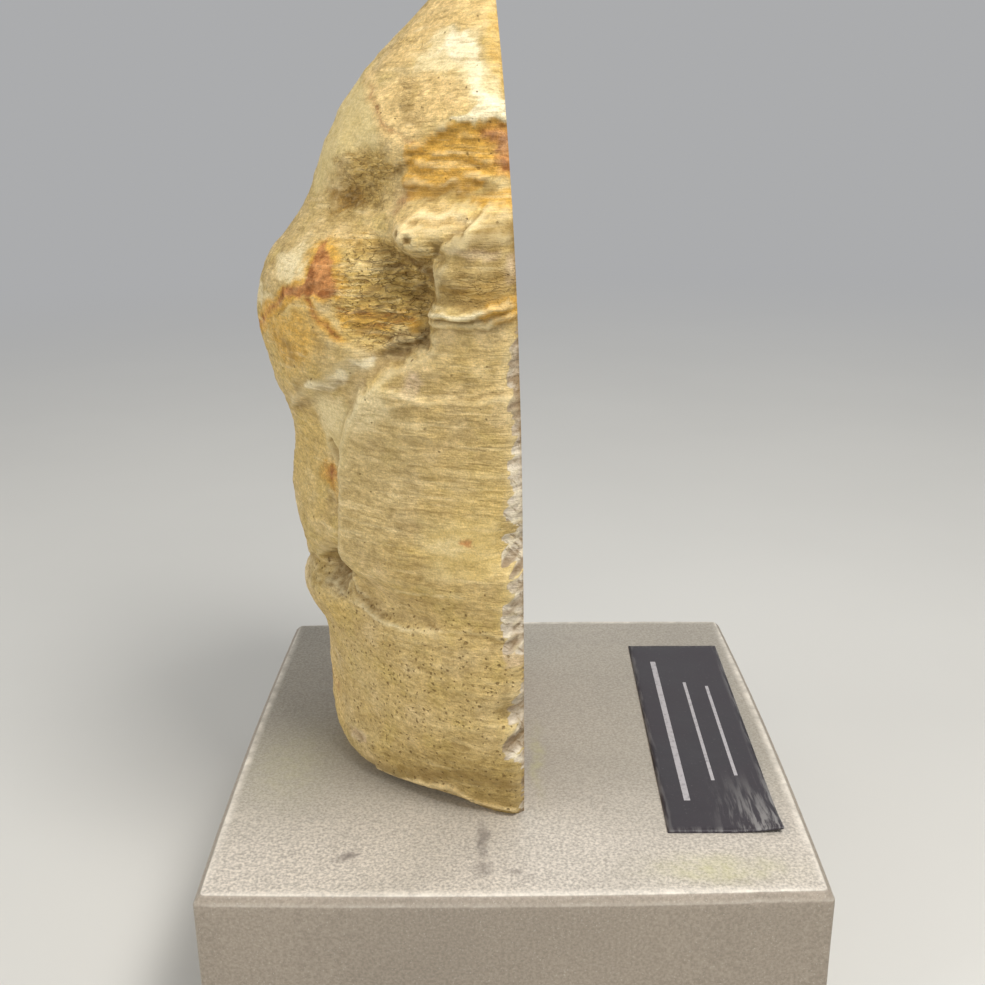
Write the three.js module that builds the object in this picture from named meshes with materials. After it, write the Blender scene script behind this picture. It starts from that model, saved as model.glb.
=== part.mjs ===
// Petrified wood on a block stand.
//
// A chunk of silicified log, sawn and polished flat on one side and rough on every other side,
// stands on a square painted block, beside a thin black plate.
// Millimetres, +Z up. The origin is the centre of the block's underside.
// The polished face looks towards +X, the near side towards -Y, and the grain runs along X.

import * as THREE from "three";

// ---- Driving dimensions: the stand ----

// Measured over the middles of the sides; the corners are two crowns less, 127 mm.
const BLOCK_SIDE = 129;
const BLOCK_HEIGHT = 38;
const BLOCK_CORNER_RADIUS = 1;
// The middle of each side stands out this far past its ends.
const BLOCK_CROWN = 1;
const BLOCK_CHAMFER = 1.5;
const BLOCK_FOOT_CHAMFER = 0.8;

const PLATE_WIDTH = 24.6;
const PLATE_LENGTH = 88.6;
const PLATE_THICKNESS = 0.6;
const PLATE_CENTRE = new THREE.Vector2(46.1, 0.9);
const PLATE_TURN = THREE.MathUtils.degToRad(-0.8);
// The near right corner has come unstuck and curls up.
const PLATE_LIFT = 1.1;
const PLATE_LIFT_REACH = 13;

// ---- Driving dimensions: the wood, all heights measured from the block's top ----

const WOOD_HEIGHT = 178;
// The polished face is upright at its foot and leans back towards its top.
const FACE_X = 2.8;
const FACE_LEAN = 5.6;
const FACE_LEAN_POWER = 3.6;
// Level sections are D-shaped: these exponents set how full their two rounded quarters are.
const NEAR_FULLNESS = 1.65;
const FAR_FULLNESS = 2.1;
// The sawn corner between the polished face and the rough sides is worn to a bevel.
const RIM_WEAR = 1.3;
const RIM_WEAR_WIDTH = 3;
// The foot is tucked in under the rough sides, deepest where a flake has left it.
const FOOT_TUCK = 0.7;
const FOOT_TUCK_HEIGHT = 3.6;
const FOOT_FLAKE_TUCK = 4.4;
const FOOT_FLAKE_X = -19;
const FOOT_FLAKE_WIDTH = 9;
// Relief dies out over this height below the tip.
const TIP_FADE = 14;
// Over this first share of the way round, relief turns from along Y to along the section's normal.
const RIM_SHARE = 0.12;
// Ledges fade out past their ends over this many times their softness.
const LEDGE_END_FADE = 3;

// Each profile is a list of [height, value] pairs joined by one smooth curve.
const NEAR_EDGE_Y = [
  [0, -36.4], [9, -38.6], [28, -41.5], [62, -44], [98, -45], [126, -42],
  [140, -38.6], [150, -34.5], [160, -28], [168, -20.5], [175, -11], [178, -3],
];
const FAR_EDGE_Y = [
  [0, 38], [10, 42], [26, 47.5], [44, 49.5], [56, 47.5], [72, 50], [90, 53], [106, 51.5],
  [118, 46], [134, 44.5], [146, 39], [158, 29.5], [167, 23], [174, 15], [178, 4],
];
const LEFT_X = [
  [0, -41.4], [9, -42.8], [26, -43.4], [33, -44], [41, -45.8], [49.5, -45.3], [57, -47.8], [66, -48.3],
  [80, -47.4], [92, -50.2], [110, -52.6], [117, -50.3], [126, -43.6], [132, -40.6], [138, -38.2],
  [143, -35.3], [156, -26.3], [167, -15.6], [174, -9], [178, -4.5],
];
const LEFT_Y = [[0, 6], [30, 2], [60, -1], [100, -3], [140, 0], [178, 1]];

// Forms of the near side, placed by [x, height].
const NEAR_MOUNDS = [
  // smooth shoulder below the tip
  { at: [-29, 145], size: [7, 15], tilt: -35, rise: 1.8, flatness: 1 },
  // ochre hollow above the nose
  { at: [-5, 136], size: [15, 6.5], tilt: 4, rise: -2, flatness: 1.3 },
  // pitted hollow left of it
  { at: [-29, 131], size: [8, 6], tilt: 25, rise: -3, flatness: 1 },
  // blunt left end of the nose
  { at: [-16.5, 124.5], size: [5, 4.6], tilt: 0, rise: 2.2, flatness: 1.4 },
  // flank that hangs from the nose down to the right
  { at: [-4, 117.5], size: [8.5, 8.5], tilt: 30, rise: 1.6, flatness: 1.4 },
  // dark cavity under the nose
  { at: [-20, 117.5], size: [8, 4.5], tilt: -38, rise: -3.6, flatness: 1 },
  // rough cavity below it
  { at: [-20.5, 108.5], size: [8, 7], tilt: 0, rise: -3.2, flatness: 1.4 },
  // big bulge on the left
  { at: [-41, 110], size: [11, 12], tilt: -10, rise: 2.2, flatness: 1.2 },
  // shallow strip left of the big panel
  { at: [-39.5, 76], size: [5, 15], tilt: 4, rise: -1.4, flatness: 1.4 },
  // deep hollow at the left edge
  { at: [-37.5, 53.5], size: [4.4, 5.6], tilt: -15, rise: -3.8, flatness: 1.4 },
  // lump below that hollow
  { at: [-43, 45], size: [4, 5], tilt: 0, rise: 2, flatness: 1 },
  // belly of the lower block
  { at: [-15, 24], size: [18, 18], tilt: 0, rise: 1.4, flatness: 1 },
  // chips broken out of the sawn corner
  { at: [1.5, 66], size: [4.6, 5.5], tilt: -20, rise: -2.6, flatness: 1.6 },
  { at: [1.5, 27.5], size: [4, 3.6], tilt: -25, rise: -2.4, flatness: 1.6 },
  { at: [2, 20], size: [3, 2.6], tilt: -25, rise: -1.6, flatness: 1.6 },
  { at: [2.5, 101], size: [2.6, 4], tilt: -20, rise: -1.3, flatness: 1.6 },
];
// The ground on a path's right-hand side stands out by step and falls away over reach.
const NEAR_LEDGES = [
  // foot of the pale top, over the ochre hollow
  { path: [[6, 144.3], [-9, 144.4], [-14, 141], [-20, 137]], step: 1.2, soft: 0.9, reach: 9 },
  // left edge of the flank and of the big panel, from the nose down to the hollow at the left edge
  {
    path: [
      [-35, 57], [-34.3, 66], [-34, 78], [-31.5, 88], [-28, 94.5], [-22, 100.5],
      [-14.6, 104.5], [-13.8, 112], [-12.8, 118], [-7.5, 125],
    ],
    step: 2.8,
    soft: 1.6,
    reach: 22,
  },
  // lip of the lower block
  { path: [[-14, 45.2], [-19, 44.8], [-24, 45.4], [-30, 47.6], [-34, 51]], step: -2, soft: 1.2, reach: 9 },
  // crusted lip under the big bulge
  { path: [[-19, 105], [-27, 102], [-32, 98], [-38, 93.5], [-43, 89]], step: 1.7, soft: 1.3, reach: 11 },
  // low bench across the big panel
  { path: [[4, 97.4], [-6, 95.8], [-14, 95], [-20, 96.4]], step: -0.8, soft: 0.7, reach: 8 },
];
const NEAR_BARS = [
  // the nose
  { path: [[-15, 125], [-7, 126.8], [6, 127.6]], width: 4, rise: 2.4 },
  // thin rib below the flank
  { path: [[-14, 111.4], [-6, 111.5], [5, 113]], width: 1.5, rise: 1.1 },
  // crack at the left edge of the big panel
  { path: [[-38, 81.5], [-35.4, 77.5], [-34.4, 71]], width: 1.3, rise: -1.6 },
];

// Forms of the left end and the far side, placed by [y, height].
const FAR_MOUNDS = [
  // shoulder below the tip
  { at: [14, 150], size: [8, 13], tilt: 30, rise: 2.4, flatness: 1 },
  // long hollow under it
  { at: [30, 133], size: [14, 6.5], tilt: -16, rise: -4.4, flatness: 1.5 },
  // two lumps over the bench
  { at: [12, 108], size: [7, 8], tilt: 20, rise: 2.6, flatness: 1.4 },
  { at: [45, 104], size: [5, 8], tilt: 0, rise: 1.8, flatness: 1 },
  // cavity at the left end
  { at: [13, 71], size: [7, 9], tilt: 15, rise: -4, flatness: 1.5 },
  // hollows and lumps of the foot
  { at: [45, 58], size: [5, 6], tilt: -20, rise: -2.4, flatness: 1.2 },
  { at: [37, 16], size: [9, 8], tilt: 15, rise: -2.8, flatness: 1.3 },
  { at: [13, 24], size: [9, 10], tilt: 0, rise: 2.2, flatness: 1.3 },
];
const FAR_LEDGES = [
  // left edge of a smooth panel
  {
    path: [[26, 50], [20, 62], [22, 78], [18, 92], [24, 100], [40, 101], [54, 97]],
    step: 2.6,
    soft: 1.6,
    reach: 20,
  },
  // bench over the foot
  { path: [[4, 40], [16, 37], [28, 41], [40, 37], [54, 40]], step: 2.4, soft: 1.3, reach: 12 },
];
const FAR_BARS = [
  // blunt ridge
  { path: [[14, 122], [28, 124], [42, 119]], width: 4, rise: 2.6 },
  // crack down the panel
  { path: [[40, 96], [36, 84], [38, 72], [34, 60]], width: 1.3, rise: -1.4 },
];

// Where the near side's forms give way to the far side's, as shares of the way round a section.
const NEAR_FORMS_END = [0.46, 0.6];
const FAR_FORMS_START = [0.46, 0.6];

// ---- Facet counts and steps ----

const WOOD_ROWS = 68;
const WOOD_FOOT_ROWS = [0.9, 1.8];
const WOOD_NEAR_COLUMNS = 31;
const WOOD_FAR_COLUMNS = 22;
const FACE_COLUMNS = 7;
const BLOCK_SIDE_STEPS = 6;
const BLOCK_CORNER_STEPS = 3;
const PLATE_STEPS_ACROSS = 5;
const PLATE_STEPS_ALONG = 14;
// Step, as a share of the way round, over which a section's direction is measured.
const NORMAL_STEP = 0.004;

// ---- Materials ----

const woodMaterial = new THREE.MeshStandardMaterial({ color: 0xbfa36a, roughness: 0.6, metalness: 0 });
const blockMaterial = new THREE.MeshStandardMaterial({ color: 0xa89c8c, roughness: 0.5, metalness: 0.35 });
const plateMaterial = new THREE.MeshStandardMaterial({ color: 0x38353a, roughness: 0.38, metalness: 0 });

// ---- Curves and solids ----

const { smoothstep, lerp, clamp } = THREE.MathUtils;

/** A smooth curve through [position, value] pairs, as a function of position. */
function profile(pairs) {
  const last = pairs.length - 1;
  const slopeBetween = (i) => (pairs[i + 1][1] - pairs[i][1]) / (pairs[i + 1][0] - pairs[i][0]);
  const slopes = pairs.map((pair, i) => {
    if (i === 0) return slopeBetween(0);
    if (i === last) return slopeBetween(last - 1);
    const before = pair[0] - pairs[i - 1][0];
    const after = pairs[i + 1][0] - pair[0];
    return (slopeBetween(i - 1) * after + slopeBetween(i) * before) / (before + after);
  });
  return (position) => {
    const at = clamp(position, pairs[0][0], pairs[last][0]);
    let i = 0;
    while (i < last - 1 && at > pairs[i + 1][0]) i += 1;
    const width = pairs[i + 1][0] - pairs[i][0];
    const u = (at - pairs[i][0]) / width;
    const startWeight = (1 + 2 * u) * (1 - u) ** 2;
    const startSlopeWeight = u * (1 - u) ** 2 * width;
    const endWeight = u * u * (3 - 2 * u);
    const endSlopeWeight = u * u * (u - 1) * width;
    return (
      startWeight * pairs[i][1] + startSlopeWeight * slopes[i] +
      endWeight * pairs[i + 1][1] + endSlopeWeight * slopes[i + 1]
    );
  };
}

/** A closed mesh from points and triangles of indices. */
function solidMesh(name, material, points, triangles) {
  const geometry = new THREE.BufferGeometry();
  geometry.setAttribute("position", new THREE.Float32BufferAttribute(points.flat(), 3));
  geometry.setIndex(triangles.flat());
  geometry.computeVertexNormals();
  const mesh = new THREE.Mesh(geometry, material);
  mesh.name = name;
  return mesh;
}

/** A closed solid from level rings, lowest first, each counter-clockwise from above, with flat ends. */
function ringSolid(name, material, rings) {
  const count = rings[0].length;
  const points = rings.flat();
  const triangles = [];
  for (let row = 0; row < rings.length - 1; row += 1) {
    for (let i = 0; i < count; i += 1) {
      const next = (i + 1) % count;
      const low = row * count;
      const high = low + count;
      triangles.push([low + i, low + next, high + next], [low + i, high + next, high + i]);
    }
  }
  const fanCentre = (ring) => {
    const sum = ring.reduce((total, p) => [total[0] + p[0], total[1] + p[1]], [0, 0]);
    points.push([sum[0] / count, sum[1] / count, ring[0][2]]);
    return points.length - 1;
  };
  const bottomCentre = fanCentre(rings[0]);
  const topCentre = fanCentre(rings[rings.length - 1]);
  const topStart = (rings.length - 1) * count;
  for (let i = 0; i < count; i += 1) {
    const next = (i + 1) % count;
    triangles.push([bottomCentre, next, i], [topCentre, topStart + i, topStart + next]);
  }
  return solidMesh(name, material, points, triangles);
}

// ---- The wood's relief ----

/** A rounded or flat-topped mound, or with a negative rise a hollow. */
function moundHeight(across, height, { at, size, tilt, rise, flatness }) {
  const angle = THREE.MathUtils.degToRad(tilt);
  const dx = across - at[0];
  const dz = height - at[1];
  const along = (dx * Math.cos(angle) + dz * Math.sin(angle)) / size[0];
  const over = (dz * Math.cos(angle) - dx * Math.sin(angle)) / size[1];
  return rise * Math.exp(-((along * along + over * over) ** flatness));
}

/** The nearest place on a path: how far off it is, on which side, and how far past the path's ends. */
function nearestOnPath(across, height, path) {
  let nearest = { distance: Infinity, side: 1, beyond: 0 };
  for (let i = 0; i < path.length - 1; i += 1) {
    const [x0, z0] = path[i];
    const dx = path[i + 1][0] - x0;
    const dz = path[i + 1][1] - z0;
    const length = Math.hypot(dx, dz);
    const along = ((across - x0) * dx + (height - z0) * dz) / length;
    const onPath = clamp(along, 0, length);
    const offX = across - x0 - (dx * onPath) / length;
    const offZ = height - z0 - (dz * onPath) / length;
    const distance = Math.hypot(offX, offZ);
    if (distance < nearest.distance) {
      const side = offX * dz - offZ * dx >= 0 ? 1 : -1;
      const pastStart = i === 0 ? Math.max(-along, 0) : 0;
      const pastEnd = i === path.length - 2 ? Math.max(along - length, 0) : 0;
      nearest = { distance, side, beyond: pastStart + pastEnd };
    }
  }
  return nearest;
}

/** A step along a path, which fades past the path's ends. */
function ledgeHeight(across, height, { path, step, soft, reach }) {
  const { distance, side, beyond } = nearestOnPath(across, height, path);
  const offset = distance * side;
  const fall = Math.exp(-((Math.max(offset, 0) / reach) ** 2));
  const end = Math.exp(-((beyond / (LEDGE_END_FADE * soft)) ** 2));
  return step * smoothstep(offset, -soft, soft) * fall * end;
}

/** A rounded bar along a path, or with a negative rise a groove. */
function barHeight(across, height, { path, width, rise }) {
  const { distance } = nearestOnPath(across, height, path);
  return rise * Math.exp(-((distance / width) ** 4));
}

function formsHeight(across, height, mounds, ledges, bars) {
  const sum = (forms, shape) => forms.reduce((total, form) => total + shape(across, height, form), 0);
  return sum(mounds, moundHeight) + sum(ledges, ledgeHeight) + sum(bars, barHeight);
}

// ---- The wood ----

const nearEdgeY = profile(NEAR_EDGE_Y);
const farEdgeY = profile(FAR_EDGE_Y);
const leftX = profile(LEFT_X);
const leftY = profile(LEFT_Y);

const faceX = (height) => FACE_X - FACE_LEAN * (height / WOOD_HEIGHT) ** FACE_LEAN_POWER;

/** A point of the plain D-shaped section: share 0 is the near edge, 0.5 the left, 1 the far edge. */
function sectionPoint(share, height) {
  const angle = share * Math.PI;
  const power = 2 / (share < 0.5 ? NEAR_FULLNESS : FAR_FULLNESS);
  const edgeY = share < 0.5 ? nearEdgeY(height) : farEdgeY(height);
  const x = lerp(faceX(height), leftX(height), clamp(Math.sin(angle), 0, 1) ** power);
  const y = lerp(leftY(height), edgeY, Math.abs(Math.cos(angle)) ** power);
  return [x, y];
}

/** How far the foot is drawn in, so that the rough sides overhang it a little. */
function footTuck(x, height) {
  const flake = FOOT_FLAKE_TUCK * Math.exp(-(((x - FOOT_FLAKE_X) / FOOT_FLAKE_WIDTH) ** 2));
  return (FOOT_TUCK + flake) * clamp(1 - height / FOOT_TUCK_HEIGHT, 0, 1) ** 2;
}

/** A point of the rough surface: the plain section pushed out or in along its own outward normal. */
function woodPoint(share, height) {
  const [x, y] = sectionPoint(share, height);
  const [x0, y0] = sectionPoint(Math.max(share - NORMAL_STEP, 0), height);
  const [x1, y1] = sectionPoint(Math.min(share + NORMAL_STEP, 1), height);
  const edge = Math.min(share, 1 - share);
  // Beside the face the push is along Y alone, which keeps the face flat.
  const outward = new THREE.Vector2(y0 - y1, x1 - x0).normalize();
  const straight = new THREE.Vector2(0, share < 0.5 ? -1 : 1);
  outward.lerp(straight, 1 - smoothstep(edge, 0, RIM_SHARE)).normalize();

  const near = 1 - smoothstep(share, ...NEAR_FORMS_END);
  const far = smoothstep(share, ...FAR_FORMS_START);
  const nearForms = formsHeight(x, height, NEAR_MOUNDS, NEAR_LEDGES, NEAR_BARS);
  const farForms = formsHeight(y, height, FAR_MOUNDS, FAR_LEDGES, FAR_BARS);
  const fromFace = faceX(height) - x;
  const wear = RIM_WEAR * clamp(1 - fromFace / RIM_WEAR_WIDTH, 0, 1) ** 2;
  const fade = clamp((WOOD_HEIGHT - height) / TIP_FADE, 0, 1);
  const push = (near * nearForms + far * farForms - wear) * fade - footTuck(x, height);
  return [x + outward.x * push, y + outward.y * push, height];
}

/** One level ring: far edge round the left to the near edge, then back along the polished face. */
function woodRing(height) {
  const ring = [];
  for (let i = 0; i <= WOOD_FAR_COLUMNS; i += 1) {
    ring.push(woodPoint(1 - (0.5 * i) / WOOD_FAR_COLUMNS, height));
  }
  for (let i = 1; i <= WOOD_NEAR_COLUMNS; i += 1) {
    ring.push(woodPoint(0.5 - (0.5 * i) / WOOD_NEAR_COLUMNS, height));
  }
  const farEdge = ring[0];
  const nearEdge = ring[ring.length - 1];
  for (let i = 1; i < FACE_COLUMNS; i += 1) {
    ring.push([faceX(height), lerp(nearEdge[1], farEdge[1], i / FACE_COLUMNS), height]);
  }
  return ring;
}

function makeWood() {
  const heights = [];
  for (let i = 0; i <= WOOD_ROWS; i += 1) {
    heights.push((WOOD_HEIGHT * i) / WOOD_ROWS);
  }
  heights.splice(1, 0, ...WOOD_FOOT_ROWS);
  return ringSolid("petrified_wood", woodMaterial, heights.map(woodRing));
}

// ---- The stand ----

/** A square ring with rounded corners and slightly crowned sides, at one level. */
function blockRing(inset, cornerRadius, level) {
  const half = BLOCK_SIDE / 2 - inset;
  const straight = half - BLOCK_CROWN - cornerRadius;
  const ring = [];
  for (let side = 0; side < 4; side += 1) {
    const turn = (side * Math.PI) / 2;
    const put = (x, y) => ring.push([
      x * Math.cos(turn) - y * Math.sin(turn),
      x * Math.sin(turn) + y * Math.cos(turn),
      level,
    ]);
    for (let i = 0; i <= BLOCK_SIDE_STEPS; i += 1) {
      const along = lerp(-straight, straight, i / BLOCK_SIDE_STEPS);
      put(half - BLOCK_CROWN * (along / straight) ** 2, along);
    }
    for (let i = 1; i < BLOCK_CORNER_STEPS; i += 1) {
      const angle = (i / BLOCK_CORNER_STEPS) * (Math.PI / 2);
      put(straight + cornerRadius * Math.cos(angle), straight + cornerRadius * Math.sin(angle));
    }
  }
  return ring;
}

function makeBlock() {
  return ringSolid("stand_block", blockMaterial, [
    blockRing(BLOCK_FOOT_CHAMFER, BLOCK_CORNER_RADIUS, 0),
    blockRing(0, BLOCK_CORNER_RADIUS, BLOCK_FOOT_CHAMFER),
    blockRing(0, BLOCK_CORNER_RADIUS, BLOCK_HEIGHT - BLOCK_CHAMFER),
    blockRing(BLOCK_CHAMFER, BLOCK_CORNER_RADIUS, BLOCK_HEIGHT),
  ]);
}

// ---- The plate ----

/** How far the plate curls up near its unstuck corner. */
function plateLift(x, y) {
  const toCorner = Math.hypot(x - PLATE_WIDTH / 2, y + PLATE_LENGTH / 2);
  return PLATE_LIFT * clamp(1 - toCorner / PLATE_LIFT_REACH, 0, 1) ** 2;
}

function makePlate() {
  const columns = PLATE_STEPS_ACROSS + 1;
  const rows = PLATE_STEPS_ALONG + 1;
  const points = [];
  for (const above of [0, PLATE_THICKNESS]) {
    for (let row = 0; row < rows; row += 1) {
      for (let column = 0; column < columns; column += 1) {
        const x = PLATE_WIDTH * (column / PLATE_STEPS_ACROSS - 0.5);
        const y = PLATE_LENGTH * (row / PLATE_STEPS_ALONG - 0.5);
        const turned = new THREE.Vector2(x, y).rotateAround(new THREE.Vector2(), PLATE_TURN);
        points.push([turned.x, turned.y, above + plateLift(x, y)]);
      }
    }
  }
  const layer = columns * rows;
  const at = (row, column) => row * columns + column;
  const triangles = [];
  for (let row = 0; row < rows - 1; row += 1) {
    for (let column = 0; column < columns - 1; column += 1) {
      const corners = [at(row, column), at(row, column + 1), at(row + 1, column + 1), at(row + 1, column)];
      const [a, b, c, d] = corners;
      triangles.push([a, c, b], [a, d, c]);
      triangles.push([layer + a, layer + b, layer + c], [layer + a, layer + c, layer + d]);
    }
  }
  const border = [];
  for (let column = 0; column < columns - 1; column += 1) border.push(at(0, column));
  for (let row = 0; row < rows - 1; row += 1) border.push(at(row, columns - 1));
  for (let column = columns - 1; column > 0; column -= 1) border.push(at(rows - 1, column));
  for (let row = rows - 1; row > 0; row -= 1) border.push(at(row, 0));
  border.forEach((from, i) => {
    const to = border[(i + 1) % border.length];
    triangles.push([from, to, layer + to], [from, layer + to, layer + from]);
  });
  return solidMesh("label_plate", plateMaterial, points, triangles);
}

// ---- Assembly ----

const blockTop = new THREE.Group();
blockTop.position.z = BLOCK_HEIGHT;

const plate = makePlate();
plate.position.set(PLATE_CENTRE.x, PLATE_CENTRE.y, 0);
blockTop.add(makeWood(), plate);

const woodOnStand = new THREE.Group();
woodOnStand.add(makeBlock(), blockTop);

export default woodOnStand;
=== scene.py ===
import itertools
import math

import bpy
import numpy as np
from mathutils import Matrix, Vector


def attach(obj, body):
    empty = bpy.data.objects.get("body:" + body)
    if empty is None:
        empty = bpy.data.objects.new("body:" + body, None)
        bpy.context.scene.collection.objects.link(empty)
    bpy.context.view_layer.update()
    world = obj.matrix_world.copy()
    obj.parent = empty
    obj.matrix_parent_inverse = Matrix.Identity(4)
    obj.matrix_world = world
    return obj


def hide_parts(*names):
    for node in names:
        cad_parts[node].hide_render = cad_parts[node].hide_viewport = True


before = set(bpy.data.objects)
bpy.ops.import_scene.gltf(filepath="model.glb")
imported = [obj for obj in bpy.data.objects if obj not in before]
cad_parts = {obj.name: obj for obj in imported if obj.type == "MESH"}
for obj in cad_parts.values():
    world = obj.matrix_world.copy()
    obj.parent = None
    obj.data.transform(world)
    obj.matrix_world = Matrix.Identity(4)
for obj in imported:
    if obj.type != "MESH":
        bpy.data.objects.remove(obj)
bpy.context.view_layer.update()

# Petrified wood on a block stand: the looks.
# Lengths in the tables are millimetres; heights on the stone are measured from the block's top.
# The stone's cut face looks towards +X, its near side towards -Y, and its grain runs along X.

MM = 0.001
BLOCK_HEIGHT = 38.0

# ---- Small numeric helpers ----

NOISE_GAIN = 1.6
OCTAVE_STEP = 2.03


def smoothstep(value, low, high):
    t = np.clip((value - low) / (high - low), 0, 1)
    return t * t * (3 - 2 * t)


def profile(pairs):
    """A smooth curve through (position, value) pairs."""
    at, value = np.array(pairs, float).T
    step = np.diff(at)
    slope = np.diff(value) / step
    inner = (slope[:-1] * step[1:] + slope[1:] * step[:-1]) / (step[1:] + step[:-1])
    slopes = np.concatenate([slope[:1], inner, slope[-1:]])

    def curve(position):
        p = np.clip(position, at[0], at[-1])
        i = np.clip(np.searchsorted(at, p, side="right") - 1, 0, len(step) - 1)
        u = (p - at[i]) / step[i]
        start = (1 + 2 * u) * (1 - u) ** 2 * value[i] + u * (1 - u) ** 2 * step[i] * slopes[i]
        end = u * u * (3 - 2 * u) * value[i + 1] + u * u * (u - 1) * step[i] * slopes[i + 1]
        return start + end

    return curve


def lattice_noise(points, seed):
    """Smooth noise about 0 with one feature per unit, at points of shape (..., 3)."""
    flat = points.reshape(-1, 3)
    rng = np.random.default_rng(seed)
    order = rng.permutation(256)
    slopes = rng.normal(size=(256, 3))
    slopes /= np.linalg.norm(slopes, axis=1, keepdims=True)
    cell = np.floor(flat).astype(int)
    inside = flat - cell
    fade = inside**3 * (inside * (inside * 6 - 15) + 10)
    total = np.zeros(len(flat))
    for corner in itertools.product((0, 1), repeat=3):
        c = (cell + corner) & 255
        pick = order[(order[(order[c[:, 0]] + c[:, 1]) & 255] + c[:, 2]) & 255]
        rise = ((inside - corner) * slopes[pick]).sum(1)
        total += rise * np.prod(np.where(corner, fade, 1 - fade), axis=1)
    return total.reshape(points.shape[:-1]) * NOISE_GAIN


def fractal(points, octaves, seed):
    """Lattice noise with finer and fainter octaves added."""
    return sum(lattice_noise(points * OCTAVE_STEP**i, seed + i) * 0.5**i for i in range(octaves))


def ridged(points, octaves, seed):
    """Sharp-crested noise, from about -0.5 to 1."""
    return sum(
        (0.5 - np.abs(lattice_noise(points * OCTAVE_STEP**i, seed + i)) * NOISE_GAIN) * 0.5**i
        for i in range(octaves)
    )


def path_distance(across, height, path):
    """Distance to a path, the side (+1 on its right) and how far past its ends."""
    best = np.full(np.shape(across), np.inf)
    side = np.ones(np.shape(across))
    beyond = np.zeros(np.shape(across))
    for i, ((x0, z0), (x1, z1)) in enumerate(zip(path[:-1], path[1:])):
        dx, dz = x1 - x0, z1 - z0
        length = math.hypot(dx, dz)
        along = ((across - x0) * dx + (height - z0) * dz) / length
        on = np.clip(along, 0, length)
        off_x = across - x0 - dx * on / length
        off_z = height - z0 - dz * on / length
        distance = np.hypot(off_x, off_z)
        past = np.zeros(np.shape(across))
        if i == 0:
            past = past + np.maximum(-along, 0)
        if i == len(path) - 2:
            past = past + np.maximum(along - length, 0)
        closer = distance < best
        best = np.where(closer, distance, best)
        side = np.where(closer, np.where(off_x * dz - off_z * dx >= 0, 1, -1), side)
        beyond = np.where(closer, past, beyond)
    return best, side, beyond


def outline_depth(across, height, corners):
    """How far inside an outline each point is; negative outside."""
    closed = corners + corners[:1]
    distance, _, _ = path_distance(across, height, closed)
    inside = np.zeros(np.shape(across), bool)
    for (x0, z0), (x1, z1) in zip(closed[:-1], closed[1:]):
        if z0 != z1:
            spans = (z0 > height) != (z1 > height)
            inside ^= spans & (across < (x1 - x0) * (height - z0) / (z1 - z0) + x0)
    return np.where(inside, distance, -distance)


def tilted(across, up, half_width, half_height, degrees):
    """Offsets from a centre, turned to a tilted pair of axes and divided by the half sizes."""
    c, s = math.cos(math.radians(degrees)), math.sin(math.radians(degrees))
    return (across * c + up * s) / half_width, (up * c - across * s) / half_height


def closed_faces(rows, count):
    """Faces between rings of points, with fans to the two centre points that follow them."""
    low = np.arange((rows - 1) * count).reshape(rows - 1, count)
    following = np.roll(low, -1, axis=1)
    quads = np.stack([low, following, following + count, low + count], -1).reshape(-1, 4).tolist()
    bottom, last = rows * count, (rows - 1) * count
    ring = list(zip(low[0].tolist(), following[0].tolist()))
    fans = [(bottom, b, a) for a, b in ring] + [(bottom + 1, last + a, last + b) for a, b in ring]
    return quads + fans


# ---- The stone's main form: the same sections as the solid it stands for ----

WOOD_HEIGHT = 178.0
FACE_X = 2.8
FACE_LEAN = 5.6
FACE_LEAN_POWER = 3.6
NEAR_FULLNESS = 1.65
FAR_FULLNESS = 2.1
RIM_WEAR = 1.3
RIM_WEAR_WIDTH = 3.0
FOOT_TUCK = 0.7
FOOT_TUCK_HEIGHT = 3.6
FOOT_FLAKE_TUCK = 4.4
FOOT_FLAKE_X = -19.0
FOOT_FLAKE_WIDTH = 9.0
TIP_FADE = 14.0
RIM_SHARE = 0.12
LEDGE_END_FADE = 3.0
# the near forms give way to the far ones between these shares of the way round
FORMS_TURN = (0.46, 0.6)

NEAR_EDGE_Y = profile([
    (0, -36.4), (9, -38.6), (28, -41.5), (62, -44), (98, -45), (126, -42),
    (140, -38.6), (150, -34.5), (160, -28), (168, -20.5), (175, -11), (178, -3),
])
FAR_EDGE_Y = profile([
    (0, 38), (10, 42), (26, 47.5), (44, 49.5), (56, 47.5), (72, 50), (90, 53), (106, 51.5),
    (118, 46), (134, 44.5), (146, 39), (158, 29.5), (167, 23), (174, 15), (178, 4),
])
LEFT_X = profile([
    (0, -41.4), (9, -42.8), (26, -43.4), (33, -44), (41, -45.8), (49.5, -45.3), (57, -47.8), (66, -48.3),
    (80, -47.4), (92, -50.2), (110, -52.6), (117, -50.3), (126, -43.6), (132, -40.6), (138, -38.2),
    (143, -35.3), (156, -26.3), (167, -15.6), (174, -9), (178, -4.5),
])
LEFT_Y = profile([(0, 6), (30, 2), (60, -1), (100, -3), (140, 0), (178, 1)])

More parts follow.
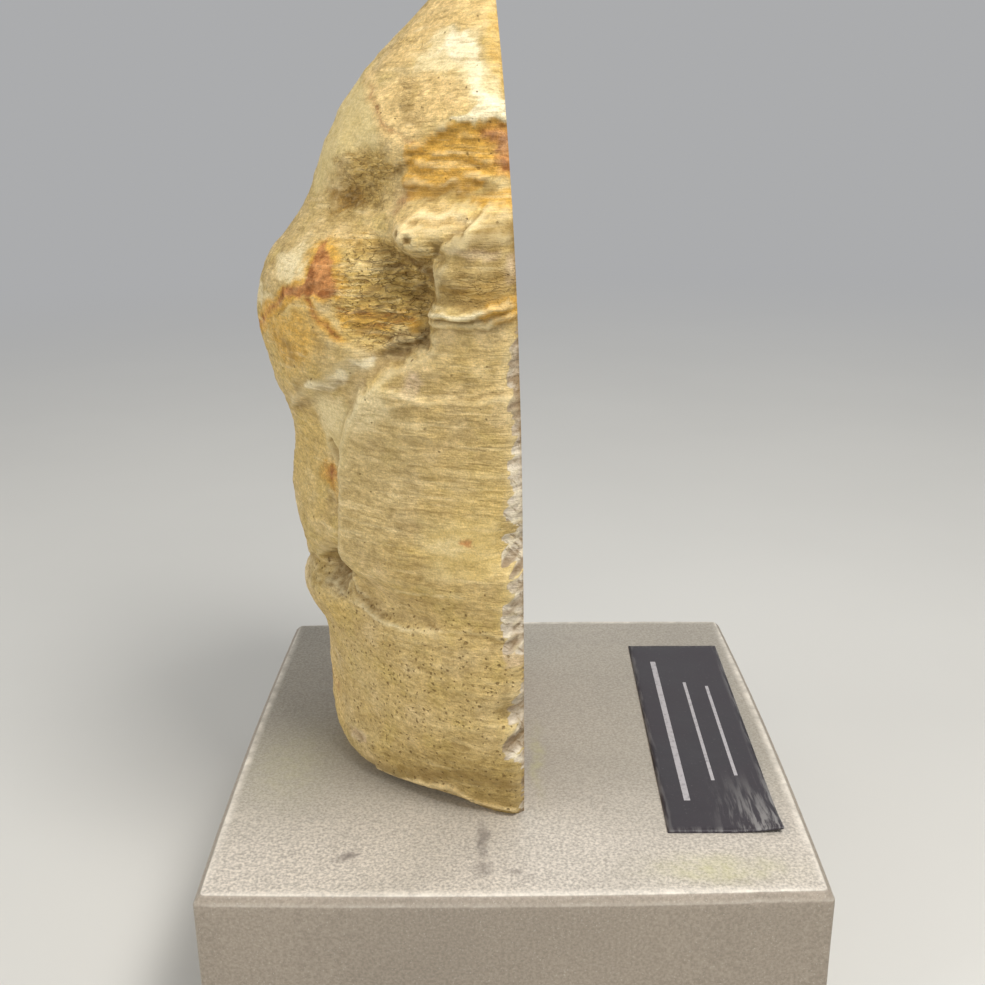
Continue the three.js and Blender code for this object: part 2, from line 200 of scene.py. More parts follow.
# mounds: (across, height, half width, half height, tilt in degrees, rise, flatness)
NEAR_MOUNDS = [
    (-29, 145, 7, 15, -35, 1.8, 1), (-5, 136, 15, 6.5, 4, -2, 1.3), (-29, 131, 8, 6, 25, -3, 1),
    (-16.5, 124.5, 5, 4.6, 0, 2.2, 1.4), (-4, 117.5, 8.5, 8.5, 30, 1.6, 1.4),
    (-20, 117.5, 8, 4.5, -38, -3.6, 1), (-20.5, 108.5, 8, 7, 0, -3.2, 1.4),
    (-41, 110, 11, 12, -10, 2.2, 1.2), (-39.5, 76, 5, 15, 4, -1.4, 1.4),
    (-37.5, 53.5, 4.4, 5.6, -15, -3.8, 1.4), (-43, 45, 4, 5, 0, 2, 1), (-15, 24, 18, 18, 0, 1.4, 1),
    (1.5, 66, 4.6, 5.5, -20, -2.6, 1.6), (1.5, 27.5, 4, 3.6, -25, -2.4, 1.6),
    (2, 20, 3, 2.6, -25, -1.6, 1.6), (2.5, 101, 2.6, 4, -20, -1.3, 1.6),
]
# ledges: (path, step, softness, reach); the ground on the path's right stands out by the step
NEAR_LEDGES = [
    ([(6, 144.3), (-9, 144.4), (-14, 141), (-20, 137)], 1.2, 0.9, 9),
    ([(-35, 57), (-34.3, 66), (-34, 78), (-31.5, 88), (-28, 94.5), (-22, 100.5),
      (-14.6, 104.5), (-13.8, 112), (-12.8, 118), (-7.5, 125)], 2.8, 1.6, 22),
    ([(-18, 45.4), (-24, 44.8), (-30, 46.4), (-34, 51)], -1.7, 1.4, 9),
    ([(-19, 105), (-27, 102), (-32, 98), (-38, 93.5), (-43, 89)], 1.7, 1.3, 11),
    ([(4, 97.4), (-6, 95.8), (-14, 95), (-20, 96.4)], -0.8, 0.7, 8),
]
# bars: (path, width, rise)
NEAR_BARS = [
    ([(-15, 125), (-7, 126.8), (6, 127.6)], 4, 2.4),
    ([(-14, 111.4), (-6, 111.5), (5, 113)], 1.5, 1.1),
    ([(-38, 81.5), (-35.4, 77.5), (-34.4, 71)], 0.8, -1.0),
]
FAR_MOUNDS = [
    (14, 150, 8, 13, 30, 2.4, 1), (30, 133, 14, 6.5, -16, -4.4, 1.5), (12, 108, 7, 8, 20, 2.6, 1.4),
    (45, 104, 5, 8, 0, 1.8, 1), (13, 71, 7, 9, 15, -4, 1.5), (45, 58, 5, 6, -20, -2.4, 1.2),
    (37, 16, 9, 8, 15, -2.8, 1.3), (13, 24, 9, 10, 0, 2.2, 1.3),
]
FAR_LEDGES = [
    ([(26, 50), (20, 62), (22, 78), (18, 92), (24, 100), (40, 101), (54, 97)], 2.6, 1.6, 20),
    ([(4, 40), (16, 37), (28, 41), (40, 37), (54, 40)], 2.4, 1.3, 12),
]
FAR_BARS = [
    ([(14, 122), (28, 124), (42, 119)], 4, 2.6),
    ([(40, 96), (36, 84), (38, 72), (34, 60)], 0.7, -0.5),
]

# ---- The stone's finer carving, on top of those forms ----

NEAR_FINE_MOUNDS = [
    # lower lobe of the nose, the dimple in its top and the fold under it
    (-16.2, 123.4, 3.8, 2.6, -38, 0.9, 1.4), (-15.6, 126.8, 1.1, 0.5, -30, -0.7, 1.2),
    (-11.5, 122.6, 3.4, 1.5, -42, -1.3, 1),
    # crusted white lumps
    (-36, 95, 3.2, 1.3, 35, 0.9, 1.3), (-31.5, 97.8, 2, 0.9, 30, 0.6, 1.2),
    (-27.2, 101, 1.7, 0.9, 20, 0.8, 1.2),
    # hollow at the left edge, and its lobe
    (-38.2, 52.2, 2.6, 3.6, -20, -1.6, 1.5), (-44.6, 40.5, 1.8, 5.5, 12, 0.9, 1.2),
    # foot, fuller on the left
    (-33, 6, 9, 7, 0, 2.2, 1.2),
    # swells of the shoulder and the bulge
    (-33, 137, 3, 7, -28, 0.8, 1), (-46, 115, 5, 4, 0, 0.7, 1.2), (-47, 99, 3, 4, 0, -0.7, 1.2),
    # knot in the cavity's floor
    (-20, 104.4, 3.3, 2.2, 8, 1.2, 1.4),
    # small grey ring near the foot
    (-34.6, 9.2, 1.9, 0.8, 8, -0.5, 1.3),
]
NEAR_FINE_LEDGES = [
    ([(-13.4, 117.6), (-13.2, 120.2), (-11, 122.8), (-8.8, 124.8)], 1.2, 0.5, 6),
    ([(-35.5, 51.5), (-36.2, 56.3), (-39.4, 55.6), (-46.3, 48)], 0.9, 0.6, 4),
    ([(-31.7, 105), (-24, 102.6), (-18.4, 102.6), (-15.2, 105.4), (-14.4, 110)], 0.5, 0.7, 5),
]
NEAR_FINE_BARS = [
    ([(-16, 127.1), (-12, 127.3), (-7, 127.7)], 0.55, -0.7),
    ([(-14.4, 110.7), (-10.5, 110.9), (-7, 111.4), (-3.4, 112.5), (0, 113.9)], 0.7, 0.95),
    ([(-14.1, 109), (-10.5, 109.2), (-7, 109.6), (-3.4, 109.4), (0, 111.1)], 0.6, 0.8),
    ([(-12, 110), (-7, 110.4), (-3, 110.9), (1, 112.5)], 0.5, -0.6),
    ([(-18.9, 137.8), (-13.8, 137), (-8.3, 135.9), (-2.9, 134.6), (0.3, 133.6)], 0.7, 0.35),
    ([(-18.9, 134), (-13.9, 134.8), (-10.2, 133.5), (-6.5, 132.5), (-1.2, 132.9)], 0.9, 0.4),
    ([(-17, 141), (-12.5, 138.9), (-7, 138.8), (-3, 137.4)], 0.6, 0.25),
    ([(-16.8, 135.6), (-12.6, 134.4), (-9.2, 135.8), (-5.8, 136.8), (-2.5, 135.1)], 0.8, -0.35),
    ([(-17, 131.8), (-10.4, 132.2), (-6.9, 132), (-4.7, 132.8), (-1.9, 132.1)], 1.4, -0.45),
    ([(-22.9, 92.9), (-16.7, 94.4), (-12.6, 95.1), (-7.9, 96.5), (-1.5, 97.7)], 0.4, 0.22),
    ([(-29, 83.4), (-21.3, 83.8), (-12.3, 85.5), (-4.5, 85.9), (1.6, 85.7)], 0.45, -0.1),
    ([(-18.6, 79.4), (-12.5, 79), (-6.6, 78.8), (-1.1, 79.6)], 0.45, -0.1),
    ([(-35.7, 51), (-33.5, 48), (-29.4, 45.6), (-25.5, 45)], 0.6, -0.55),
    ([(-33, 45.6), (-29, 44.4), (-25.2, 43.7), (-21, 44.1)], 0.4, 0.25),
    ([(-19.4, 46), (-14.6, 46.2), (-9.1, 46.1), (-3.7, 45.9), (2.2, 45.5)], 0.35, 0.14),
    ([(-17, 45.3), (-9.1, 45.2), (-3.7, 45), (2.2, 44.6)], 0.4, -0.18),
    ([(-22.8, 52.4), (-17.5, 53.3), (-13.2, 54)], 0.35, 0.25),
    ([(-31.1, 37.5), (-24.3, 39.9), (-13.6, 41.7), (-5.2, 41.1)], 0.4, -0.15),
    ([(-29.6, 1.2), (-24.8, 1.6), (-19.5, 3.6), (-12.6, 4.6), (-8.5, 2.4), (0.4, 1.4)], 0.8, 0.55),
    ([(-44.5, 108.5), (-40, 112.4), (-36, 114.5)], 0.5, -0.35),
]

# shell-shaped scars along the two sawn corners: how far in they reach, by height
SCAR_REACH = profile([
    (0, 1.6), (10, 1.2), (14, 1.4), (19, 4.2), (27, 4.8), (31, 2.8), (34, 1.5), (42, 1.6), (46, 4.8),
    (54, 5), (62, 6), (66, 5), (74, 4.2), (82, 3.4), (90, 2.2), (98, 3), (104, 2.4), (110, 1), (120, 0.6),
    (150, 0.5), (178, 0.4),
])
SCAR_COUNT = 320

# ---- Paint on the stone ----

# Outlines are lists of (across, height); the far side's are (depth, height).
CAVITY = [
    (-30.5, 121.7), (-25.7, 123.7), (-21.1, 123.3), (-17.4, 119.8), (-13.2, 116), (-14.7, 113.5),
    (-14.7, 107.3), (-17.9, 103.4), (-23.9, 103.6), (-29.2, 106), (-31.4, 110.8), (-31.7, 116.5),
]
PITTED = [
    (-31.1, 138.6), (-23.4, 139.6), (-19.1, 139), (-19.5, 136.3), (-22.6, 133.5), (-25, 130), (-29, 128),
    (-34.2, 127.6), (-34.5, 131), (-31, 135.2),
]
HOLLOW = [
    (-9.4, 144.3), (4, 144.3), (4, 134), (-1.3, 135.4), (-4.7, 134), (-6.9, 132.6), (-10.4, 132.3),
    (-15, 131.1), (-18.6, 130.8), (-19.2, 133.7), (-19.5, 137.4), (-18.5, 140.6), (-14.9, 141.4),
    (-11.9, 142.4), (-10.2, 143.8),
]
# patches of paint, by mask: (softness, strength, outline)
NEAR_PATCHES = {
    # bronze: those for the hollow's low fold, the top of the flank, the foot, the flank and the nose lobe's
    # underside darken where shade falls, a painted shade; the rest are stone colour
    "bronze": [
        (2, 0.5, [(-19.5, 128), (-13, 129.6), (3, 129), (3, 126), (-8, 122), (-13, 119), (-19, 122.4)]),
        (1.6, 1, [(-18.6, 133.6), (-10.4, 134.2), (-6.9, 133.8), (-6.4, 132), (-10.4, 131.8), (-15, 130.6),
            (-18.6, 130.4)]),
        (3.6, 0.4, [(-13, 107), (2, 108.3), (3, 98), (-11, 97)]),
        (4, 0.45, [(-22, 42), (3, 43), (3, 14), (-12, 16)]),
        (2, 0.5, [(-52, 108), (-42, 108), (-40, 99), (-46, 94), (-50, 98)]),
        (1.2, 1, [(-8.4, 125.8), (-4.8, 126.6), (3, 127.2), (3, 122), (-6, 122.4), (-8.4, 123.4)]),
        (4, 1, [(-30, 9), (-12, 17), (3, 19), (3, 2), (-14, 5), (-26, 2)]),
        (2.5, 1, [(-12, 121), (3, 122), (3, 112.5), (-12, 112.5)]),
        (1, 1, [(-19, 123), (-14, 124.6), (-10.8, 124.4), (-12.5, 119.8), (-16.4, 120)]),
        (1.4, 1, [(-46.3, 49), (-40.4, 55.6), (-36.4, 56.1), (-35.5, 51.5), (-35.4, 47.9), (-38.5, 46.9),
            (-43, 44)]),
    ],
    "dun": [
        (3, 1, [(-32.2, 92.3), (-20.6, 95.7), (-14.9, 90.7), (-17.4, 74), (-26.6, 58.7), (-33.7, 56.2),
            (-34.3, 74.3)]),
        (2, 1, [(-38, 12), (-29, 15.5), (-28.5, 10.6), (-32.4, 4.2), (-38.6, 0.5)]),
    ],
    "olive": [
        # a pale patch over the panel's middle, a painted highlight
        (3, 1, [(-16, 70), (-2, 72), (-1, 60), (-15, 58)]),
        (2.5, 1, [(-40.5, 92), (-30, 91), (-31.5, 79), (-40, 80)]),
        (1.6, 1, [(-27.9, 153.3), (-31.9, 148.6), (-36.3, 141.2), (-40, 135.5), (-39.1, 131.1),
            (-36.2, 131.6), (-31.1, 138.6), (-23.4, 140.3), (-22.6, 144.4), (-24.6, 149.9)]),
    ],
    "peach": [
        (1, 0.75, [(-20, 128), (-15.5, 130), (-6, 130.8), (3, 130), (3, 128), (-6.7, 126.6), (-13, 126.6),
            (-15.9, 124.5), (-18.4, 123.6), (-20.7, 124.8)]),
        (1.4, 1, [(-15.1, 154.1), (-4, 148.2), (-9.6, 145.3), (-19.1, 141), (-22.6, 144.4), (-24.6, 149.9)]),
        (2, 1, [(-25, 153), (-14, 168), (-6, 178), (3, 178), (3, 160), (-10, 161), (-17, 155)]),
        (1.8, 0.6, [(-45, 34), (-41.4, 33), (-39.8, 18), (-36.5, 8), (-41, 5), (-44.4, 14)]),
    ],
    "yellow": [
        (0.7, 1, [(-3.6, 161.2), (-2.9, 163.8), (3, 163.5), (3, 149.8), (-0.6, 149.8), (-2.6, 154.5),
            (-3.4, 158.1)]),
        (3.6, 0.5, [(-13, 107), (2, 108.3), (3, 98), (-11, 97)]),
        (1.2, 1, [(-14, 131), (-8, 131.6), (3, 131.6), (3, 129.4), (-8, 129.2)]),
        (3, 1, [(-15.6, 67.9), (-0.8, 75.8), (-0.3, 61), (-7.8, 58.2), (-15.9, 61.3)]),
        (2.5, 1, [(-51, 107), (-38, 110.9), (-35.6, 107), (-37, 99.4), (-43.4, 92), (-49, 95)]),
        (1.2, 1, [(-25.7, 98.9), (-21.9, 98.6), (-20.6, 95), (-24.3, 94.2), (-26.8, 95.9)]),
        (1.6, 1, [(-43.5, 88), (-41.1, 88.3), (-39, 79.1), (-39.8, 70.1), (-40, 62.9), (-44.5, 60.7),
            (-46.7, 68), (-48.6, 74)]),
        (2.4, 1, [(-11.5, 72.1), (-6.7, 77), (-0.6, 79.3), (-0.6, 64.8), (-5.6, 62.6), (-9, 63.7)]),
        (1.3, 1, [(-20.6, 63.4), (-17, 66), (-11.4, 67), (-11.1, 63.4), (-17.1, 61.8)]),
        (1.1, 1, [(-39.4, 44.2), (-34.5, 45.6), (-34.3, 41.3), (-38.1, 37.9), (-40.6, 38.9)]),
    ],
    "ivory": [
        (1.6, 1, [(-17, 156), (-13, 160.5), (-5, 161), (-3.6, 155), (-0.6, 149.4), (-1, 147.2), (-5, 146.4),
            (-6, 151), (-9, 153.4), (-16, 153.4)]),
        (1.4, 1, [(-46, 119.2), (-38.4, 121), (-38.2, 116.7), (-40.3, 114.4), (-43.4, 114.4),
            (-45.6, 116.8)]),
        (1, 1, [(-52, 112), (-46, 111.7), (-46.3, 109.8), (-49.5, 108.4), (-52.5, 108)]),
        (0.6, 0.6, [(-17.4, 128.2), (-13.4, 129), (-7, 128.7), (3, 129), (3, 127.9), (-7, 127.4),
            (-15, 127.4)]),
        (2, 0.6, [(-31, 96), (-22, 99), (-20, 92), (-26, 86), (-32, 86)]),
        (2, 0.6, [(-42, 92), (-34, 94), (-31, 90), (-33, 84), (-40, 82)]),
        (2, 0.6, [(-46.8, 50), (-43.6, 49), (-42.6, 42), (-44.4, 38), (-46.4, 43)]),
        (4, 0.3, [(-14, 84), (1, 86), (1, 68), (-14, 66)]),
        (4, 0.35, [(-40, 38), (-28, 40), (-27, 20), (-38, 18)]),
        (2, 0.35, [(-47, 72), (-41, 73), (-40, 58), (-45, 58)]),
        # a painted highlight over the panel's upper middle
        (1.6, 0.5, [(-20, 66.5), (-10, 68), (-6, 66), (-9, 62.5), (-18, 62)]),
    ],
    "cream": [
        (1, 1, [(-12.6, 156.7), (-10, 159.9), (-6.4, 160.4), (-4.9, 158), (-4.2, 154.6), (-3.5, 150.8),
            (-1.7, 149.2), (-1.2, 147.6), (-4.3, 147.4), (-5.2, 151.6), (-6.8, 154.8), (-10.2, 155.6)]),
        (0.5, 1, [(-9.4, 145), (-6.8, 145.9), (-4, 147.1), (-1.2, 148.7), (4, 148), (4, 144.6),
            (-9.3, 144.6)]),
        (1.4, 0.5, [(-44.6, 118.8), (-39.4, 120), (-39.2, 116.9), (-40.8, 115.4), (-43, 115.4),
            (-44.4, 116.8)]),
    ],
    "fibrous": [
        (1.4, 0.35, [(-20, 153), (-16.2, 153.6), (-14.9, 150), (-14.3, 147.2), (-12.5, 144.8), (-14.9, 143.7),
            (-17.3, 145.6), (-19.2, 147.9)]),
        (1.2, 0.5, [(-22.8, 159.7), (-16.5, 160.2), (-13.8, 158.5), (-15, 157.3), (-18.9, 157.5),
            (-22.3, 156.7)]),
        (2, 0.6, [(-11, 118), (-7, 119), (3, 118.6), (3, 114), (-7, 113.4), (-12.4, 113.6)]),
        (1.2, 1, [(-17.5, 122.2), (-13.5, 122.6), (-12.8, 120), (-16, 120.2)]),
        (2, 0.75, PITTED),
        (2, 1, CAVITY),
    ],
    "ochre": [
        (0.8, 1, HOLLOW),
        (0.9, 0.45, [(-3.6, 161.2), (-2.9, 163.8), (3, 163.5), (3, 149.8), (-0.6, 149.8), (-2.6, 154.5)]),
        (3, 0.6, [(-50, 109), (-44, 110.5), (-37, 111), (-33, 106), (-36, 98), (-44, 95), (-50, 101)]),
        (2.2, 0.4, [(-11, 117.6), (-7, 118.6), (3, 118), (3, 114.2), (-7, 113.6), (-12.4, 113.8)]),
        (1.4, 1, [(-9.8, 131.8), (-4.8, 131.8), (3, 132.9), (3, 129.8), (-3, 130.3), (-6.6, 130.8)]),
        (1.4, 1, [(-35, 131.8), (-30, 132), (-29.8, 128.8), (-34.4, 128.4)]),
        (1.6, 0.5, [(-33, 124.5), (-27, 125.5), (-23, 123.5), (-30, 121.5), (-32.3, 119), (-35, 122.5)]),
        (1.4, 1, [(-37.5, 122.6), (-32.2, 122.6), (-31, 118), (-31, 112), (-38, 111.6), (-40.5, 114),
            (-38.8, 118)]),
        (1.5, 0.7, [(-32.1, 111.4), (-20.2, 111.2), (-17, 109.4), (-18.6, 107), (-24, 106.8), (-31, 107)]),
        (1.6, 0.8, [(-41, 72), (-40, 76.6), (-36.4, 77.4), (-35.8, 73), (-37.4, 69.8)]),
    ],
    "rust": [
        (2.2, 0.8, [(-4.6, 143.6), (5, 144.6), (5, 134.2), (-1.9, 135.4), (-2.6, 139.4), (-4.8, 141.2)]),
        (2.6, 0.6, [(-22, 131.8), (-19, 133.2), (-16.8, 131.4), (-19, 128.8), (-22.4, 127.8)]),
        (0.9, 1, [(-36.2, 122), (-34.2, 122.4), (-33.2, 119), (-32.2, 116), (-32.4, 112.8), (-34.7, 113.2),
            (-38.9, 112.2), (-43, 111), (-42, 113), (-38.6, 115), (-37.4, 118)]),
        (1.4, 0.75, [(-40, 73.2), (-39.3, 75.6), (-36.7, 76.6), (-36.3, 74.1), (-37.4, 71.2)]),
        (0.7, 1, [(-10.2, 67.2), (-7, 67), (-7.2, 65.8), (-10, 66)]),
        (1.2, 0.45, [(-43, 18), (-40, 18.4), (-39.6, 14.6), (-42, 14)]),
    ],
    "mauve": [
        (2, 0.5, [(-3.4, 142.2), (5, 142.8), (5, 137.4), (-0.9, 138.2), (-2, 140)]),
        (1.1, 1, [(-8.4, 122.4), (-4, 123.2), (-1.4, 122.6), (-2.4, 120.9), (-6.6, 120.9)]),
        (0.8, 1, [(-0.6, 121.4), (3, 122.2), (3, 117), (-0.2, 117)]),
        (1.3, 1, [(-18.8, 99.7), (-15.8, 100.7), (-14.4, 97.9), (-16.7, 95.1), (-18.9, 96)]),
        (1.8, 0.6, [(-46.6, 50), (-43.6, 49), (-42.6, 41), (-42.6, 36), (-44.6, 38), (-46, 44)]),
        (0.8, 1, [(-2, 42.8), (3, 42.8), (3, 39.4), (-1.2, 39.2)]),
        (1.2, 1, [(-36.2, 8), (-35, 10.6), (-32.2, 10.9), (-31.6, 9.2), (-34, 7.7)]),
    ],
    "grey": [
        (1.4, 1, [(-23.7, 106.2), (-19.7, 107.5), (-15.1, 107.9), (-14.8, 105.2), (-17.3, 103.7),
            (-20, 101.9), (-22.7, 102.4)]),
        (1.4, 1, [(-42, 51), (-37.5, 54), (-35.5, 50), (-36, 46), (-39.5, 45.5)]),
    ],
    "shade": [
        # shade: those for the hollow's low fold, the flank under the nose and the band along the foot are
        # painted shade; the others are brown stains
        (1.3, 1, [(-17.5, 134), (-10.4, 135), (-5.6, 134.6), (-6, 132.6), (-10.4, 131.6), (-15, 130.8)]),
        (2.6, 0.42, [(-12, 124), (3, 125.4), (3, 113), (-12, 113)]),
        (1.8, 1, [(-10.6, 118), (-7.1, 119.4), (-0.4, 119.4), (3, 118), (3, 114), (-3.8, 114.2),
            (-7.2, 113.4), (-12.6, 113.6), (-12.6, 115.6)]),
        (1.2, 0.85, [(-8.4, 126), (-4.8, 126.8), (3, 127.4), (3, 122), (-6, 122.4), (-8.4, 123.4)]),
        (1.2, 1, [(-43.8, 103.2), (-42.2, 104.3), (-41.2, 102), (-41.1, 98.4), (-42.6, 98.5)]),
        (1, 1, [(-43.5, 93.4), (-41.8, 94.6), (-40.4, 93.4), (-42.2, 91.6)]),
        (1.8, 0.6, [(-20.5, 154.2), (-16.8, 154.4), (-15, 153.2), (-15.7, 149.7), (-13.8, 146.8),
            (-11.9, 143.4), (-15.7, 142.7), (-18.6, 145.2), (-19.7, 149.2)]),
        (1.6, 0.5, [(-33, 134), (-24, 136), (-24, 133), (-26, 129.4), (-30.5, 128), (-34, 128)]),
        (1.4, 1, [(-35.4, 132.6), (-29.4, 132.8), (-29.4, 128.4), (-34.8, 128)]),
        (2.2, 1, [(-36, 2), (-22.4, 7), (-13, 10.7), (3, 11.2), (3, 8.6), (-13.1, 7.1), (-22.7, 3.4),
            (-33, 0)]),
    ],
    "dark": [
        # the first four paint shade: under the hollow's low fold, under the nose, in the cavity's pocket and
        # in the notch; the last is a dark stain in the pitted ground
        (1.6, 0.35, [(-16, 133.2), (-5, 133.8), (-2.6, 132.6), (-7, 131.2), (-15, 131)]),
        (0.8, 1, [(-20.7, 121), (-19.2, 121.6), (-16.5, 120.6), (-13.6, 118.6), (-12.8, 115.6),
            (-14.3, 115.6), (-17.9, 118.4)]),
        (1.1, 1, [(-20.1, 114.9), (-17.6, 115.4), (-15.4, 113.7), (-16.1, 111.7), (-19.2, 112.1)]),
        (1, 1, [(-41, 51.5), (-37.5, 53.5), (-35.6, 50), (-36.4, 47.4), (-39, 47.5)]),
        (1.4, 1, [(-34.6, 131.6), (-30.4, 131.8), (-30.2, 129), (-34, 128.8)]),
    ],
}
FAR_PATCHES = {
    "yellow": [
        (4, 1, [(26, 90), (44, 92), (50, 78), (40, 70), (28, 76)]),
    ],
    "ivory": [
        (2.2, 1, [(14, 123), (26, 126), (40, 121), (44, 117), (30, 119), (16, 118)]),
    ],
    "cream": [
        (2.6, 0.6, [(8, 168), (18, 160), (24, 150), (18, 147), (10, 155), (5, 163)]),
    ],
    "ochre": [
        (2.6, 1, [(18, 138), (30, 139), (44, 133), (47, 127), (34, 128), (20, 131)]),
    ],
    "shade": [
        (2.6, 1, [(22, 136), (34, 136), (40, 130), (28, 129)]),
        (2.6, 1, [(8, 78), (16, 79), (19, 70), (14, 63), (8, 66)]),
        (2.2, 1, [(30, 22), (43, 21), (44, 12), (33, 11)]),
    ],
}
# strokes of paint, by mask: (half width, softness, path)
NEAR_STROKES = {
    "peach": [
        (1.4, 1.2, [(-25.6, 152.8), (-23.8, 149.1), (-22.4, 145.2), (-19.8, 142.4), (-16.7, 140.4)]),
        # the last three are painted highlights: along the top of a small ledge, along a fine lip and along
        # the foot's rim
        (0.15, 0.4, [(-22.9, 93.2), (-16.7, 94.6), (-12.6, 95.3), (-7.9, 96.7), (-1.5, 97.9)]),
        (0, 0.4, [(-17, 46), (-9.1, 46), (-3.7, 45.9), (2.2, 45.5)]),
        (0.35, 0.6, [(-29.6, 1.4), (-24.8, 2), (-19.5, 4), (-12.6, 5), (-8.5, 2.8), (0.4, 1.8)]),
    ],
    "yellow": [
        (0.5, 0.7, [(-14.4, 110.9), (-10.5, 111.1), (-7, 111.6), (-3.4, 112.7)]),
    ],
    "ivory": [
        (1, 1.2, [(-38, 94.2), (-35, 95), (-32, 97.6), (-28.8, 99.8), (-26.2, 101.4)]),
        # painted highlight along the lip under the lower crease
        (0.1, 0.45, [(-33, 45.6), (-29, 44.4), (-25.2, 43.7), (-20, 44.1)]),
    ],
    "cream": [
        (0.8, 0.85, [(-38.4, 93.8), (-35.8, 94.4), (-33, 96.4), (-31, 98.2)]),
        (0.7, 0.85, [(-28.6, 100.4), (-27.4, 100.8), (-25.6, 102)]),
        (0.3, 0.6, [(-14, 110.9), (-10.5, 111.1), (-7, 111.5), (-4, 112.6)]),
    ],
    "ochre": [
        (1.6, 1.2, [(-52, 103), (-47.6, 107.8), (-43.4, 111.1), (-38.9, 113.2), (-35.4, 114.4)]),
        (0.9, 1.2, [(-37.8, 112.1), (-35.5, 108.8), (-33.9, 107.3), (-30.5, 104.8)]),
        (1.2, 0.9, [(-3, 113.1), (0.4, 114), (3, 113)]),
        (0.9, 0.9, [(-4, 111.2), (-0.6, 112.4), (3, 111.8)]),
        (0.7, 0.8, [(-1.4, 110.4), (3, 111.4)]),
    ],
    "rust": [
        (0.1, 1.1, [(-24.6, 150.8), (-23.4, 148), (-22, 144.6), (-19.6, 142), (-16.4, 140.8)]),
        (0.35, 1.1, [(-52.4, 103), (-47.6, 107.9), (-43.4, 111.2), (-38.9, 113.2), (-35.4, 114.2)]),
        (0.2, 0.9, [(-37.6, 111.8), (-35.5, 108.9), (-33.9, 107.3), (-31, 105.2)]),
        (0.2, 0.9, [(-31, 110.4), (-26, 109.6), (-21, 110.2)]),
        (0.1, 0.8, [(-27, 107.8), (-22, 108.4), (-19, 109.2)]),
    ],
    "shade": [
        # painted shade: under the hollow's lower fold and along its folds, the nose's cast shadow, the lower
        # crease and the line under the fine lip; the two thin lines on the panel darken fine grooves; the
        # rest are stains, a crack and the knot's ring
        (0.8, 1.7, [(-19.4, 132), (-15, 131.8), (-10.4, 132.2), (-6.9, 132), (-4.7, 132.8), (-1.9, 132.1)]),
        (0.1, 0.8, [(-16.8, 135.4), (-12.6, 134.4), (-9.2, 135.6), (-5.8, 136.6), (-2.5, 135.1)]),
        (1, 1, [(-25.7, 122), (-21.4, 121.2), (-16, 118.6), (-13.2, 116.9)]),
        (0.7, 1, [(-42.4, 101.8), (-41.9, 97.8)]),
        (0.9, 0.9, [(-42, 93.4), (-41.6, 91.8)]),
        (0.45, 0.6, [(-38.4, 80.2), (-36.1, 77.4), (-35.4, 75.8), (-35.8, 72.2)]),
        (0, 0.45, [(-29, 83.4), (-21.3, 83.8), (-12.3, 85.5), (-4.5, 85.9), (1.6, 85.7)]),
        (0, 0.45, [(-18.6, 79.4), (-12.5, 79), (-6.6, 78.8), (-1.1, 79.6)]),
        (0.5, 0.7, [(-35.7, 51.4), (-33.5, 48.4), (-29.4, 45.9)]),
        (0.2, 0.5, [(-22.6, 105.2), (-20.6, 106), (-18, 105), (-18.6, 103.6), (-21, 103.2), (-22.4, 104)]),
        (0, 0.4, [(-17, 45.2), (-9.1, 45.1), (-3.7, 44.9), (2.2, 44.5)]),
        (0.5, 0.7, [(-11.6, 18.6), (-8.7, 18.1)]),
    ],
    "dark": [
        # painted shade in the lower crease
        (0, 0.5, [(-35.9, 51), (-33.7, 48), (-29.4, 45.5), (-26.5, 44.9)]),
    ],
}
FAR_STROKES = {
    "cream": [
        (0.3, 0.8, [(4, 40.6), (16, 37.6), (28, 41.6), (40, 37.6), (54, 40.6)]),
    ],
    "rust": [
        (0.6, 1.2, [(14, 104), (22, 98), (36, 96), (50, 99)]),
    ],
}
# stains of the unseen sides follow noise: (mask, size across, size up, from, to, strength)
CLOUDS = [
    ("bronze", 42, 22, 0, 0.5, 1), ("olive", 34, 18, 0.05, 0.5, 1), ("yellow", 30, 14, 0.1, 0.55, 1),
    ("peach", 34, 16, 0.15, 0.6, 1), ("dun", 26, 10, 0.2, 0.6, 1), ("ochre", 30, 10, 0.3, 0.9, 0.9),
    ("rust", 24, 9, 0.4, 1, 0.6), ("ivory", 24, 8, 0.36, 0.8, 0.9), ("cream", 20, 7, 0.5, 0.9, 0.8),
    ("mauve", 24, 9, 0.36, 0.8, 1), ("shade", 18, 8, 0.3, 0.8, 1),
]
# paints in the order they are laid: (how far noise breaks the edge, tint, most cover)
PAINTS = {
    "bronze": (0.5, (0.42, 0.295, 0.10), 0.75),
    "dun": (0.5, (0.54, 0.405, 0.185), 0.6),
    "olive": (0.5, (0.70, 0.56, 0.265), 0.8),
    "peach": (0.6, (0.80, 0.57, 0.25), 0.75),
    "yellow": (0.6, (0.65, 0.46, 0.15), 0.6),
    "ivory": (0.6, (0.81, 0.68, 0.40), 0.85),
    "cream": (0.6, (0.895, 0.79, 0.545), 0.95),
    "fibrous": (0.6, (0.57, 0.375, 0.095), 0.8),
    "ochre": (0.6, (0.66, 0.36, 0.05), 0.88),
    "rust": (0.9, (0.46, 0.19, 0.06), 0.92),
    "mauve": (0.6, (0.60, 0.45, 0.31), 0.6),
    "grey": (0.6, (0.36, 0.27, 0.14), 0.75),
}
DEEP_RUST = (0.27, 0.08, 0.018)
PAINT_SOFTNESS = 1.5

# ---- The stone's mesh ----

ROWS = 336
NEAR_COLUMNS = 140
FAR_COLUMNS = 124
FACE_COLUMNS = 26
SHARE_STEP = 0.002
